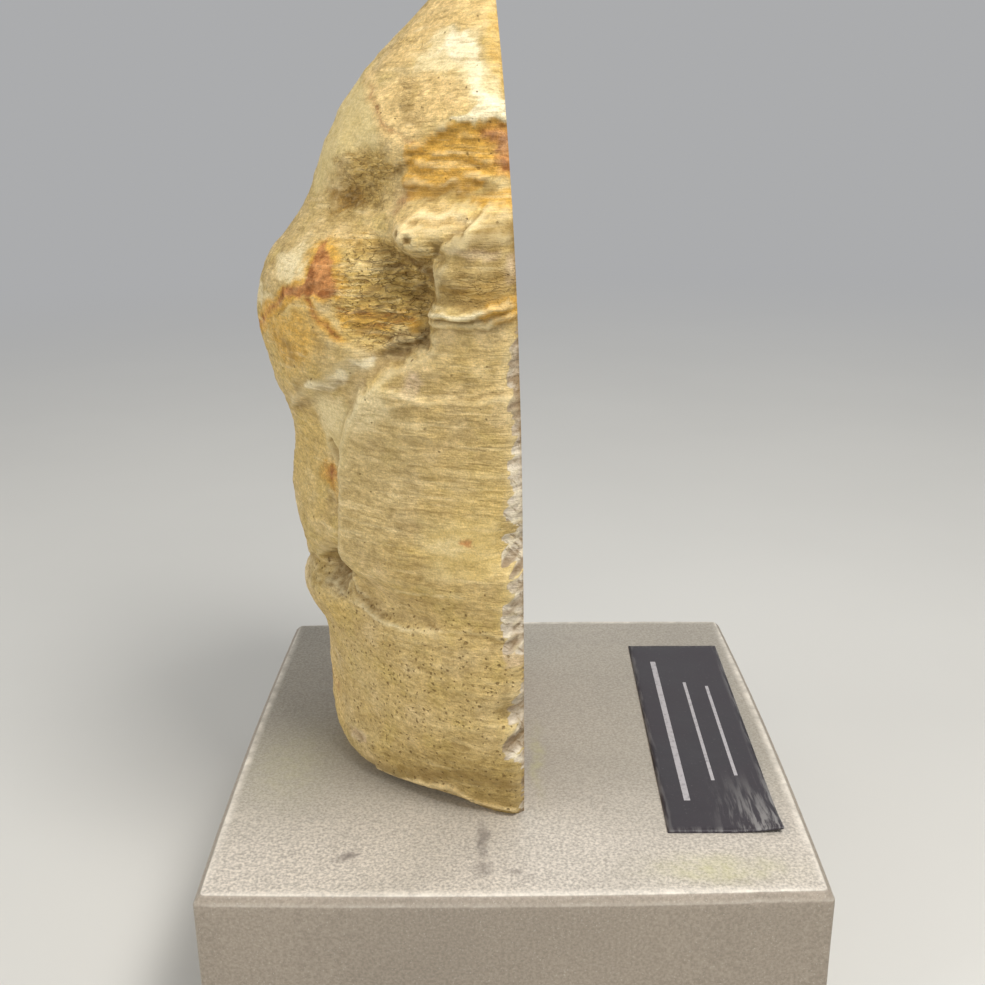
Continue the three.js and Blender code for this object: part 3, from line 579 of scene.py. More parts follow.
# the photo stops showing the surface between these
UNSEEN_SHARES = (0.44, 0.6)
RIND_DEPTH = 20.0
FLAKE_COUNT = 64
FLAKE_SHARES = (0.42, 0.98)
FLAKE_RADII = (4.5, 12.0)
FLAKE_RISE = 1.2
NOSE_PITS = [(-18.4, 125.1), (-15.9, 124.3)]
NOSE_PIT_DEPTH = 0.9
# how strongly noise bends the outlines of the forms and of the finer carving
FORMS_BEND = 0.3
FINE_BEND = 0.45
# what counts as a full crease, crest or wide hollow, against the surface blurred by so many steps; creases
# and wide hollows get painted shade, crests a painted highlight
CREASE_SHADE = (0.32, 3)
CREST_HIGHLIGHT = (0.3, 4)
WIDE_HOLLOW_SHADE = (1.6, 60)


def face_x(height):
    return FACE_X - FACE_LEAN * (height / WOOD_HEIGHT) ** FACE_LEAN_POWER


def section_point(share, height):
    """A point of the plain D-shaped section: share 0 is the near edge, 0.5 the left, 1 the far edge."""
    angle = share * np.pi
    near = share < 0.5
    power = 2 / np.where(near, NEAR_FULLNESS, FAR_FULLNESS)
    edge_y = np.where(near, NEAR_EDGE_Y(height), FAR_EDGE_Y(height))
    across = np.clip(np.sin(angle), 0, 1) ** power
    x = face_x(height) + (LEFT_X(height) - face_x(height)) * across
    y = LEFT_Y(height) + (edge_y - LEFT_Y(height)) * np.abs(np.cos(angle)) ** power
    return x, y


def forms_height(across, height, mounds, ledges, bars):
    """How far the listed forms raise the surface at each point."""
    total = np.zeros(np.shape(across))
    for at_x, at_z, half_w, half_h, tilt, rise, flatness in mounds:
        along, over = tilted(across - at_x, height - at_z, half_w, half_h, tilt)
        total += rise * np.exp(-((along**2 + over**2) ** flatness))
    for path, step, soft, reach in ledges:
        distance, side, beyond = path_distance(across, height, path)
        offset = distance * side
        fall = np.exp(-((np.maximum(offset, 0) / reach) ** 2))
        end = np.exp(-((beyond / (LEDGE_END_FADE * soft)) ** 2))
        total += step * smoothstep(offset, -soft, soft) * fall * end
    for path, width, rise in bars:
        total += rise * np.exp(-((path_distance(across, height, path)[0] / width) ** 4))
    return total


def even_shares(heights):
    """Shares that cut each section's near and far halves into even lengths."""
    shares = []
    for start, end, count in ((0.0, 0.5, NEAR_COLUMNS), (0.5, 1.0, FAR_COLUMNS)):
        dense = np.linspace(start, end, 500)
        x, y = section_point(*np.meshgrid(dense, heights))
        length = np.cumsum(np.hypot(np.diff(x), np.diff(y)), axis=1)
        length = np.concatenate([np.zeros((len(heights), 1)), length], axis=1)
        wanted = np.linspace(0, 1, count + 1)
        shares.append(np.array([np.interp(wanted * row[-1], row, dense) for row in length]))
    return np.concatenate([shares[0], shares[1][:, 1:]], axis=1)


def blurred(field, steps):
    for _ in range(steps):
        padded = np.pad(field, 1, mode="edge")
        field = (padded[:-2, 1:-1] + padded[2:, 1:-1] + padded[1:-1, :-2] + padded[1:-1, 2:]) / 4
    return field


def painted(across, height, warp, patches, strokes):
    """Masks from 0 to 1 for every paint, with the outlines pushed about by the warp."""
    masks = {name: np.zeros(np.shape(across)) for name in (*PAINTS, "shade", "dark")}
    for name, shapes in patches.items():
        for soft, strength, corners in shapes:
            depth = outline_depth(across + warp[0], height + warp[1], corners)
            edge = soft * PAINT_SOFTNESS
            masks[name] = np.maximum(masks[name], smoothstep(depth, -edge, edge) * strength)
    for name, shapes in strokes.items():
        for half_width, soft, path in shapes:
            distance, _, _ = path_distance(across + warp[0] * 0.5, height + warp[1] * 0.5, path)
            edge = soft * PAINT_SOFTNESS
            inside = 1 - smoothstep(distance, half_width - edge, half_width + edge)
            masks[name] = np.maximum(masks[name], inside)
    return masks


def rim_scars(from_face, height, seed):
    """Shell-shaped scars along a sawn corner: how deep they are, and a tone for each."""
    rng = np.random.default_rng(seed)
    depth = np.zeros(height.shape)
    tone = np.zeros(height.shape)
    for at in rng.uniform(0, WOOD_HEIGHT, SCAR_COUNT):
        reach = SCAR_REACH(at) * rng.uniform(0.35, 1.0)
        half = reach * rng.uniform(0.22, 0.6) + 0.3
        slant = rng.uniform(-1.1, 0.2)
        bowl = 1 - ((height - at - slant * from_face) / half) ** 2 - (from_face / reach) ** 2
        bowl = bowl * reach * rng.uniform(0.12, 0.26)
        deeper = bowl > depth
        depth = np.where(deeper, bowl, depth)
        tone = np.where(deeper, rng.random(), tone)
    return depth, tone


def flake_scars(point, seed):
    """Shallow shells struck off the left and far sides: how deep they are at each point."""
    rng = np.random.default_rng(seed)
    height = rng.uniform(4, WOOD_HEIGHT - 8, FLAKE_COUNT)
    share = rng.uniform(*FLAKE_SHARES, FLAKE_COUNT)
    x, y = section_point(share, height)
    depth = np.zeros(point.shape[:-1])
    for centre in np.stack([x, y, height], -1):
        radius = rng.uniform(*FLAKE_RADII)
        stretch = np.array([1, 1, rng.uniform(0.8, 1.7)])
        distance = np.linalg.norm((point - centre) * stretch, axis=-1) / radius
        depth = np.maximum(depth, radius * rng.uniform(0.06, 0.12) * (1 - distance**2))
    return depth


def outward(share, height):
    """The level direction in which relief pushes: along the section's normal, along Y at the rims."""
    x0, y0 = section_point(np.maximum(share - SHARE_STEP, 0), height)
    x1, y1 = section_point(np.minimum(share + SHARE_STEP, 1), height)
    out = np.stack([y0 - y1, x1 - x0], -1)
    out /= np.maximum(np.linalg.norm(out, axis=-1, keepdims=True), 1e-9)
    turn = smoothstep(np.minimum(share, 1 - share), 0, RIM_SHARE)[..., None]
    straight = np.stack([np.zeros_like(share), np.where(share < 0.5, -1.0, 1.0)], -1)
    out = out * turn + straight * (1 - turn)
    return out / np.linalg.norm(out, axis=-1, keepdims=True)


def stone_surface():
    """Points of the rough sides, in rows from the near edge round to the far one, and their masks."""
    heights = WOOD_HEIGHT * np.linspace(0, 1, ROWS + 1)
    share = even_shares(heights)
    height = np.repeat(heights[:, None], share.shape[1], axis=1)
    x, y = section_point(share, height)
    point = np.stack([x, y, height], -1)
    near = 1 - smoothstep(share, *FORMS_TURN)
    far = 1 - near
    unseen = smoothstep(share, *UNSEEN_SHARES)

    warp = [fractal(point / 4, 4, seed) * 1.2 for seed in (40, 50)]
    near_paint = painted(x, height, warp, NEAR_PATCHES, NEAR_STROKES)
    far_paint = painted(y, height, warp, FAR_PATCHES, FAR_STROKES)
    masks = {name: near_paint[name] * near + far_paint[name] * far for name in near_paint}
    for i, (name, wide, tall, low, high, strength) in enumerate(CLOUDS):
        place = point / [wide, wide, tall] + warp[0][..., None] * 0.1
        cloud = smoothstep(fractal(place, 4, 400 + i), low, high) * strength
        masks[name] = np.maximum(masks[name], cloud * unseen)

    def forms(across, bend, *tables):
        return forms_height(across + bend[0], height + bend[1], *tables)

    drift = [lattice_noise(point / 13, 30 + i) * 3 + warp[i] for i in (0, 1)]
    push = near * forms(x, [w * FORMS_BEND for w in warp], NEAR_MOUNDS, NEAR_LEDGES, NEAR_BARS)
    push += far * forms(y, drift, FAR_MOUNDS, FAR_LEDGES, FAR_BARS)
    push += near * forms(x, [w * FINE_BEND for w in warp], NEAR_FINE_MOUNDS, NEAR_FINE_LEDGES, NEAR_FINE_BARS)

    # splinters in the cavity, small lumps in the pitted ground, folds in the hollow, fibres everywhere
    cavity = near * smoothstep(outline_depth(x, height, CAVITY), -1.5, 2.5) + far * masks["shade"] * 0.7
    deep = np.maximum(masks["grey"], masks["dark"])
    pitted = near * smoothstep(outline_depth(x, height, PITTED), -2, 3)
    swirl = np.maximum(near * smoothstep(outline_depth(x, height, HOLLOW), -1, 1), masks["peach"] * 0.4)
    bent = point + np.stack([warp[0], warp[0], warp[1]], -1) * 0.5
    for field, noise, place, feature_size, octaves, seed, rise, offset in (
        (1, fractal, point, 19, 3, 10, 0.55, 0),
        (1 - 0.5 * masks["olive"], fractal, point, [8, 5, 4], 3, 20, 0.2, 0),
        (0.1 + 0.1 * swirl + 0.12 * unseen, fractal, bent, [22, 6, 1.5], 3, 60, 1, 0),
        (unseen, ridged, bent, [17, 12, 7], 5, 34, 0.8, 0),
        (cavity, ridged, bent, [11, 4, 2.1], 4, 70, 0.62, -0.2),
        (cavity, fractal, bent, [9, 5, 4.2], 3, 73, 0.55, 0),
        (deep, fractal, point, [2.6, 2, 1.8], 3, 78, 0.8, -0.3),
        (pitted, fractal, point, [2.6, 1.6, 1.1], 2, 76, 0.3, -0.1),
        (swirl, fractal, bent, [9, 4, 2.6], 3, 80, 0.3, 0),
    ):
        push += field * (noise(place / feature_size, octaves, seed) * rise + offset)
    push -= unseen * flake_scars(bent, 35) * FLAKE_RISE

    from_face = face_x(height) - x
    scars = [rim_scars(from_face, height, seed) for seed in (90, 91)]
    scar_depth, tone = (np.where(share < 0.5, a, b) for a, b in zip(*scars))
    slanted = np.stack([x * 0.75 + height * 0.65, y, height * 0.75 - x * 0.65], -1)
    push -= scar_depth * (1 + ridged(slanted / [3.2, 3, 1.2], 2, 93) * 0.5)
    masks["chip"] = smoothstep(scar_depth, 0.02, 0.2)
    # the chips are dull near the ledges and whiter between them
    duller = 0.6 * smoothstep(height, 83, 91) + 0.35 * smoothstep(height, 57, 52)
    whiter = 0.7 * smoothstep(height, 60, 66) * smoothstep(height, 85, 80)
    tone = tone * (1 - duller)
    masks["tone"] = tone + whiter * (0.72 - tone)

    push -= RIM_WEAR * np.clip(1 - from_face / RIM_WEAR_WIDTH, 0, 1) ** 2
    push *= np.clip((WOOD_HEIGHT - height) / TIP_FADE, 0, 1)

    # two open pits in the nose, and how thickly the small painted ones lie
    masks["pit"] = np.zeros(push.shape)
    for x_at, z_at in NOSE_PITS:
        pit = np.exp(-(((x - x_at) ** 2 + (height - z_at) ** 2) / 0.5) ** 2)
        masks["pit"] = np.maximum(masks["pit"], near * pit)
    push -= masks["pit"] * NOSE_PIT_DEPTH
    thick = 0.14 + 0.36 * smoothstep(height, 62, 36) * near + 0.1 * np.maximum(cavity, pitted) + 0.1 * far
    masks["thick"] = np.clip(thick * (1 - masks["chip"]) * (1 - 0.8 * masks["olive"]), 0, 1)

    flake = FOOT_FLAKE_TUCK * np.exp(-(((x - FOOT_FLAKE_X) / FOOT_FLAKE_WIDTH) ** 2))
    push -= (FOOT_TUCK + flake) * np.clip(1 - height / FOOT_TUCK_HEIGHT, 0, 1) ** 2

    # creases and wide hollows for painted shade, crests for a painted highlight, and where grain streaks show
    for name, sign, (full, steps) in (("low", 1, CREASE_SHADE), ("high", -1, CREST_HIGHLIGHT), ("hollow", 1, WIDE_HOLLOW_SHADE)):
        masks[name] = np.clip((blurred(push, steps) - push) * sign / full, 0, 1)
    masks["streak"] = 1 - 0.6 * near * smoothstep(height, 60, 42)
    point[..., :2] += outward(share, height) * push[..., None]
    return point, masks


def mesh_object(name, points, faces, materials, material_index=None, smooth=True):
    """A mesh object from points in millimetres, linked to the scene."""
    mesh = bpy.data.meshes.new(name)
    mesh.from_pydata((points * MM).tolist(), [], faces)
    for material in materials:
        mesh.materials.append(material)
    if material_index is not None:
        mesh.polygons.foreach_set("material_index", np.asarray(material_index, np.int32))
    mesh.polygons.foreach_set("use_smooth", np.full(len(mesh.polygons), smooth))
    mesh.validate()
    mesh.update()
    thing = bpy.data.objects.new(name, mesh)
    bpy.context.scene.collection.objects.link(thing)
    return thing


def add_mask(thing, name, values):
    """A float attribute on the points, which the materials read."""
    layer = thing.data.attributes.new(name, "FLOAT", "POINT")
    layer.data.foreach_set("value", np.asarray(values, np.float32).ravel())


def sharpen(thing, is_sharp):
    """Marks the edges whose two points satisfy is_sharp as sharp."""
    mesh = thing.data
    pairs = np.zeros(len(mesh.edges) * 2, np.int32)
    mesh.edges.foreach_get("vertices", pairs)
    layer = mesh.attributes.new("sharp_edge", "BOOLEAN", "EDGE")
    layer.data.foreach_set("value", is_sharp(*pairs.reshape(-1, 2).T))


def make_stone(rough, polished):
    """The rough sides and the flat cut face as closed rings, with a centre point at each end."""
    sides, masks = stone_surface()
    near_edge, far_edge = sides[:, :1], sides[:, -1:]
    turn = np.linspace(0, np.pi, FACE_COLUMNS + 1)[1:-1]
    face = near_edge + (far_edge - near_edge) * (0.5 - 0.5 * np.cos(turn))[None, :, None]
    face[..., 0] = face_x(face[..., 2])
    rings = np.concatenate([sides[:, ::-1], face], axis=1)
    rows, count = rings.shape[:2]
    side_count = sides.shape[1]
    ends = [rings[0].mean(0), rings[-1].mean(0)]
    points = np.concatenate([rings.reshape(-1, 3), ends]) + [0, 0, BLOCK_HEIGHT]
    index = np.zeros((rows - 1, count), int)
    index[:, side_count - 1:] = 1
    stone = mesh_object(
        "petrified_wood_stone", points, closed_faces(rows, count), [rough, polished],
        np.concatenate([index.ravel(), np.zeros(2 * count, int)]),
    )
    blank = np.zeros((rows, FACE_COLUMNS - 1))
    for name, values in masks.items():
        values = np.concatenate([values[:, ::-1], blank], axis=1)
        add_mask(stone, name, np.append(values, (0, 0)))
    inside = np.minimum(rings[..., 1] - near_edge[..., 1], far_edge[..., 1] - rings[..., 1])
    inside = np.minimum(inside, (WOOD_HEIGHT - rings[..., 2]) * 0.6)
    add_mask(stone, "inside", np.append(np.clip(inside / RIND_DEPTH, 0, 1), (0, 0)))

    def rim(a, b):
        on_rim = (a % count == b % count) & np.isin(a % count, (0, side_count - 1))
        end_ring = (a // count == b // count) & np.isin(a // count, (0, rows - 1))
        return (on_rim | end_ring) & (np.maximum(a, b) < rows * count)

    sharpen(stone, rim)
    return stone


# ---- Node trees ----


class Value:
    """An output of a material's node; +, - and * add math nodes."""

    def __init__(self, tree, socket):
        self.tree, self.socket = tree, socket

    def __add__(self, other):
        return self.tree.math("ADD", self, other)

    def __sub__(self, other):
        return self.tree.math("SUBTRACT", self, other)

    def __mul__(self, other):
        return self.tree.math("MULTIPLY", self, other)


class Tree:
    """A material's node tree, built from short calls. Places are positions in metres."""

    def __init__(self, name):
        self.material = bpy.data.materials.new(name)
        self.material.use_nodes = True
        self.graph = self.material.node_tree
        self.graph.nodes.clear()
        self.place = self.add("TexCoord", {}, "Object")

    def add(self, kind, inputs, output=0, **settings):
        """A new node with its settings and inputs, numbers or values; gives one output."""
        node = self.graph.nodes.new("ShaderNode" + kind)
        for key, value in settings.items():
            setattr(node, key, value)
        for key, value in inputs.items():
            if isinstance(value, Value):
                self.graph.links.new(value.socket, node.inputs[key])
            else:
                node.inputs[key].default_value = value
        return Value(self, node.outputs[output])

    def mask(self, name):
        return self.add("Attribute", {}, "Fac", attribute_name=name)

    def scaled(self, scale, place=None):
        """The place with its three axes scaled: features per metre."""
        return self.add("VectorMath", {0: place or self.place, 1: scale}, operation="MULTIPLY")

    def warped(self, scale, amount, place=None):
        """The place pushed about by noise, by amount in metres."""
        place = place or self.place
        noise = self.noise(scale, 2, place=place, output="Color")
        centred = self.add("VectorMath", {0: noise, 1: (0.5, 0.5, 0.5)}, operation="SUBTRACT")
        return self.add("VectorMath", {0: centred, 1: (amount,) * 3, 2: place}, operation="MULTIPLY_ADD")

    def noise(self, scale, detail=3, roughness=0.55, place=None, output="Fac"):
        inputs = {"Vector": place or self.place, "Scale": scale, "Detail": detail, "Roughness": roughness}
        return self.add("TexNoise", inputs, output)

    def stretched_noise(self, scale, detail, roughness, place=None):
        """Noise with its own scale along each axis."""
        return self.noise(1, detail, roughness, self.scaled(scale, place))

    def line_noise(self, value, scale, detail, roughness):
        """Noise along one number."""
        inputs = {"W": value, "Scale": scale, "Detail": detail, "Roughness": roughness}
        return self.add("TexNoise", inputs, "Fac", noise_dimensions="1D")

    def cells(self, scale, place=None, output="Distance", feature="F1"):
        inputs = {"Vector": place or self.place, "Scale": scale}
        return self.add("TexVoronoi", inputs, output, feature=feature)

    def math(self, operation, a, b=0.0):
        return self.add("Math", {0: a, 1: b}, operation=operation)

    def length(self, vector):
        return self.add("VectorMath", {0: vector}, "Value", operation="LENGTH")

    def between(self, value, low, high, to_low=0.0, to_high=1.0, kind="SMOOTHSTEP"):
        """Maps low..high to to_low..to_high, held at both ends."""
        inputs = {"Value": value, "From Min": low, "From Max": high, "To Min": to_low, "To Max": to_high}
        return self.add("MapRange", inputs, "Result", interpolation_type=kind)

    def linear(self, *span):
        """As between, along a straight line."""
        return self.between(*span, kind="LINEAR")

    def mix(self, factor, a, b, blend="MIX"):
        a, b = ((*colour, 1) if isinstance(colour, tuple) else colour for colour in (a, b))
        settings = {"data_type": "RGBA", "blend_type": blend, "clamp_factor": True}
        return self.add("Mix", {0: factor, 6: a, 7: b}, 2, **settings)

    def lit(self, colour, amount):
        """A colour made lighter or darker by an amount near 1."""
        return self.mix(1.0, colour, amount, "MULTIPLY")

    def ramp(self, value, stops):
        colour = self.add("ValToRGB", {0: value})
        elements = colour.socket.node.color_ramp.elements
        while len(elements) < len(stops):
            elements.new(0.5)
        for element, (position, tint) in zip(elements, stops):
            element.position = position
            element.color = (*tint, 1)
        return colour

    def broken(self, mask, noise, spread, low, high):
        """A mask whose edge is broken up by noise."""
        return self.between(mask + (noise - 0.5) * spread, low, high)

    def bump(self, height, distance, strength):
        return self.add("Bump", {"Distance": distance, "Strength": strength, "Height": height})

    def finish(self, **sockets):
        inputs = {name.replace("_", " "): value for name, value in sockets.items()}
        shader = self.add("BsdfPrincipled", inputs)
        output = self.graph.nodes.new("ShaderNodeOutputMaterial")
        self.graph.links.new(shader.socket, output.inputs["Surface"])
        return self.material


def rough_stone_material():
    """The natural sides: warm ground, the painted masks, grain along X, pits, chips, painted shade in creases
    and hollows and a painted highlight on crests.
    """
    t = Tree("stone_rough")
    bent = t.warped(38, 0.0016)
    fibre = t.stretched_noise((40, 110, 640), 5, 0.62, bent)
    thread = t.stretched_noise((150, 300, 2100), 4, 0.62, bent)
    strand = t.stretched_noise((170, 300, 1300), 4, 0.6, t.warped(110, 0.004, bent))
    grain = t.stretched_noise((480, 1000, 1500), 3, 0.65)
    blotch = t.noise(62, 4, 0.55)
    mottle = t.noise(330, 4, 0.62)
    fine = t.noise(2700, 2, 0.6)
    drift = t.noise(120, 3, 0.5)
    fibrous, rust, olive = t.mask("fibrous"), t.mask("rust"), t.mask("olive")

    colour = t.ramp(t.mix(0.45, blotch, mottle), [
        (0.34, (0.50, 0.352, 0.132)), (0.45, (0.56, 0.402, 0.16)),
        (0.55, (0.61, 0.448, 0.19)), (0.66, (0.67, 0.507, 0.235)),
    ])
    colour = t.mix(t.between(drift, 0.50, 0.66, 0, 0.6), colour, (0.62, 0.465, 0.235))
    colour = t.mix(t.between(drift, 0.48, 0.34, 0, 0.5), colour, (0.56, 0.415, 0.13))
    for name, (spread, tint, most) in PAINTS.items():
        if name == "rust":
            tint = t.mix(t.between(mottle, 0.42, 0.60), tint, DEEP_RUST)
        mask = t.broken(t.mask(name), mottle, spread, 0.05, 0.95)
        colour = t.mix(t.broken(mask, grain, 0.3, 0.0, 1.0) * most, colour, tint)

    # the pale shoulder and the ivory stains are smoother than the rest
    calm = t.math("MAXIMUM", olive, t.mask("ivory"))
    lighter, darker = t.linear(calm, 0, 1, 1.18, 1.09), t.linear(calm, 0, 1, 0.83, 0.92)
    colour = t.lit(colour, t.linear(mottle, 0.34, 0.66, lighter, darker))
    # darker ground is the warmer, lighter ground the paler
    warmth = t.linear(mottle - grain, -0.25, 0.25, 0, 1)
    colour = t.lit(colour, t.mix(warmth, (0.96, 0.975, 1.0), (1.0, 0.965, 0.85)))

    strands = fibrous * 0.8
    vein = t.math("ABSOLUTE", t.stretched_noise((330, 420, 800), 2, 0.5, bent) - 0.5)
    vein = t.between(vein, 0.035, 0.008) * fibrous
    streak = t.mask("streak") * t.between(rust, 0, 1, 1, 0.25) * t.between(olive, 0, 1, 1, 0.5)
    for amount, tint in (
        (t.between(strand, 0.47, 0.36) * strands, (0.80, 0.60, 0.25)),
        (t.between(strand, 0.52, 0.64) * strands, (0.30, 0.168, 0.038)),
        (vein * 0.6, (0.19, 0.105, 0.025)),
        (t.between(fibre, 0.53, 0.70, 0, 0.5) * streak, (0.34, 0.225, 0.07)),
        (t.between(fibre, 0.47, 0.32, 0, 0.42) * streak, (0.85, 0.685, 0.37)),
        (t.between(thread, 0.53, 0.72, 0, 0.5) * streak, (0.33, 0.215, 0.065)),
    ):
        colour = t.mix(amount, colour, tint)
    lighter, darker = t.linear(calm, 0, 1, 1.2, 1.08), t.linear(calm, 0, 1, 0.76, 0.90)
    colour = t.lit(colour, t.linear(grain, 0.34, 0.66, darker, lighter))
    colour = t.lit(colour, t.linear(fine, 0.36, 0.64, 0.86, 1.12))

    quartz = t.ramp(t.mask("tone") + (mottle - 0.5) * 0.9, [
        (0.05, (0.30, 0.22, 0.14)), (0.3, (0.52, 0.43, 0.32)), (0.55, (0.70, 0.62, 0.50)),
        (0.8, (0.88, 0.79, 0.60)), (1.0, (0.58, 0.43, 0.235)),
    ])
    slanted = t.add("VectorRotate", {"Vector": t.place, "Angle": -0.75}, rotation_type="Y_AXIS")
    seam = t.stretched_noise((220, 500, 1100), 3, 0.6, slanted)
    quartz = t.mix(t.between(seam, 0.54, 0.68, 0, 0.8), quartz, (0.24, 0.175, 0.11))
    quartz = t.lit(quartz, t.linear(grain, 0.34, 0.66, 0.8, 1.15))
    colour = t.mix(t.broken(t.mask("chip"), mottle, 0.5, 0.2, 0.7) * 0.92, colour, quartz)

    # painted shade: the shade and dark masks, the wide hollows and the creases darken the colour below, and
    # crests get a painted highlight; the shade mask also carries brown stains, the dark mask a dark stain
    shade = t.broken(t.mask("shade"), mottle, 0.9, 0.15, 0.9) * t.between(grain, 0.36, 0.60, 0.35, 1)
    dark = t.mask("dark") * t.between(mottle, 0.36, 0.58, 0.3, 1)
    low = t.mask("low") * t.between(t.mask("ochre"), 0, 1, 0.46, 0.15)
    stained = t.math("MAXIMUM", fibrous, rust)
    pits = t.mask("pit")
    for scale, size in ((560, 0.24), (980, 0.27)):
        place = t.warped(420, 0.0011)
        chosen = t.math("LESS_THAN", t.cells(scale, place, "Color"), t.mask("thick"))
        pits = t.math("MAXIMUM", pits, t.between(t.cells(scale, place), size, size * 0.4) * chosen)
    for amount, tint in (
        (shade * 0.62, (0.22, 0.13, 0.032)),
        (t.mask("hollow") * 0.18, (0.24, 0.15, 0.05)),
        (t.math("MAXIMUM", low, dark * 0.72), (0.18, 0.10, 0.026)),
        (t.mask("high") * t.between(stained, 0, 1, 0.32, 0.1), (0.93, 0.81, 0.50)),
        (pits * 0.66, (0.19, 0.11, 0.03)),
    ):
        colour = t.mix(amount, colour, tint)

    relief = (fibre * 1.1 + thread * 0.45) * streak + mottle * 0.8 + strand * strands * -1.6
    relief = relief + grain * 0.6 + fine * 0.25 - t.math("MAXIMUM", pits, vein) * 0.8
    normal = t.bump(relief * t.between(calm, 0, 1, 1, 0.55), 0.0006, 0.8)
    roughness = t.linear(mottle, 0.3, 0.7, 0.48, 0.74)
    return t.finish(Base_Color=colour, Roughness=roughness, Normal=normal, Specular_IOR_Level=0.25)


def polished_stone_material():
    """The cut through the log: growth rings about an off-centre heart, agate, hair cracks, a rind."""
    t = Tree("stone_polished")
    bent = t.warped(190, 0.0016, t.warped(42, 0.008, t.warped(11, 0.034)))
    from_heart = {0: bent, 1: (0, 1, 0.55), 2: (0, -0.022, -0.05)}
    flat = t.add("VectorMath", from_heart, operation="MULTIPLY_ADD")
    radius = t.length(flat)
    rings = t.line_noise(radius, 620, 5, 0.7)
    bands = t.line_noise(radius, 120, 3, 0.6)
    cloud = t.noise(34, 5, 0.6, bent)
    speck = t.noise(700, 4, 0.65)
    colour = t.ramp(t.mix(0.38, bands, cloud), [
        (0.34, (0.24, 0.085, 0.035)), (0.42, (0.46, 0.20, 0.07)), (0.48, (0.62, 0.38, 0.14)),
        (0.54, (0.74, 0.55, 0.28)), (0.61, (0.84, 0.73, 0.50)), (0.70, (0.60, 0.44, 0.24)),
    ])
    colour = t.mix(t.between(rings, 0.52, 0.64, 0, 0.5), colour, (0.28, 0.135, 0.05))
    colour = t.mix(t.between(rings, 0.46, 0.33, 0, 0.32), colour, (0.90, 0.80, 0.58))
    colour = t.lit(colour, t.linear(speck, 0.35, 0.65, 0.85, 1.12))

    # rays run out from the heart
    up, along = (t.add("SeparateXYZ", {0: flat}, axis) for axis in "ZY")
    ray = t.line_noise(t.math("ARCTAN2", up, along), 22, 4, 0.7)
    colour = t.mix(t.between(ray, 0.56, 0.66, 0, 0.22), colour, (0.86, 0.74, 0.50))

    agate = t.noise(24, 3, 0.5, bent)
    clear = t.ramp(t.line_noise(agate, 46, 2, 0.5), [
        (0.36, (0.50, 0.44, 0.38)), (0.5, (0.86, 0.82, 0.74)), (0.62, (0.40, 0.27, 0.20)),
    ])
    colour = t.mix(t.between(agate, 0.61, 0.66) * 0.85, colour, clear)

    crack = t.between(t.cells(26, bent, feature="DISTANCE_TO_EDGE"), 0.016, 0.004)
    crack = crack * t.between(t.noise(18, 2), 0.48, 0.60)
    colour = t.mix(crack * 0.8, colour, (0.30, 0.10, 0.045))

    inside = t.broken(t.mask("inside"), t.noise(150, 4, 0.6), 0.22, 0.0, 1.0)
    rind = t.ramp(inside, [
        (0.02, (0.78, 0.66, 0.42)), (0.10, (0.60, 0.42, 0.17)),
        (0.18, (0.42, 0.20, 0.075)), (0.30, (0.66, 0.46, 0.20)),
    ])
    colour = t.mix(t.between(inside, 0.36, 0.10, 0, 0.85), colour, rind)
    colour = t.mix(t.between(t.cells(1100), 0.20, 0.08, 0, 0.3), colour, (0.20, 0.11, 0.05))
    roughness = t.linear(t.noise(380, 3), 0.35, 0.7, 0.12, 0.22)
    normal = t.bump(t.noise(120, 3), 0.00012, 0.35)
    coat = {"Coat_Weight": 0.3, "Coat_Roughness": 0.05}
    return t.finish(Base_Color=colour, Roughness=roughness, Normal=normal, **coat)


def block_material():
    """Sandy grey paint: the sides a darker, browner copy of the top, a painted shade, and the top lighter and
    more speckled towards its near edge, a painted sheen.
    """
    t = Tree("block_paint")
    speck = t.noise(1600, 3, 0.6)
    fleck = t.noise(3300, 2, 0.6)
    cloud = t.noise(28, 3, 0.5)
    painted_sheen = t.mask("painted_sheen")
    # the sides take a darker, browner copy of the top's paint: painted shade
    colour = t.mix(t.mask("top"), (0.33, 0.28, 0.222), (0.365, 0.335, 0.28))
    colour = t.mix(painted_sheen, colour, (0.595, 0.54, 0.47))
    colour = t.lit(colour, t.linear(cloud, 0.3, 0.7, 0.93, 1.07))
    lighter, darker = t.linear(painted_sheen, 0, 0.8, 1.13, 1.28), t.linear(painted_sheen, 0, 0.8, 0.86, 0.69)
    colour = t.lit(colour, t.linear(speck, 0.36, 0.64, lighter, darker))
    colour = t.mix(t.between(fleck, 0.62, 0.74, 0, 0.4), colour, (0.78, 0.74, 0.66))
    colour = t.mix(t.between(fleck, 0.36, 0.26, 0, 0.5), colour, (0.23, 0.20, 0.165))
    rough_edge = t.between(t.noise(340, 4), 0.3, 0.7, 0.4, 1.0)
    # grime: stains, plus painted shade in its large faint marks and the strip beside the stone's foot; olive:
    # stains, plus that strip's greenish painted reflection; worn: painted highlight lines along the top edge
    for name, tint, most in (
        ("grime_and_shade", (0.17, 0.145, 0.13), 1.3),
        ("olive", (0.50, 0.48, 0.25), 0.9),
        ("worn", (0.86, 0.80, 0.70), 0.9),
    ):
        colour = t.mix(t.mask(name) * rough_edge * most, colour, tint)
    roughness = t.linear(speck, 0.3, 0.7, 0.5, 0.68)
    normal = t.bump(speck * 0.7 + fleck * 0.5, 0.00022, 0.45)
    return t.finish(Base_Color=colour, Roughness=roughness, Normal=normal, Metallic=0.12)


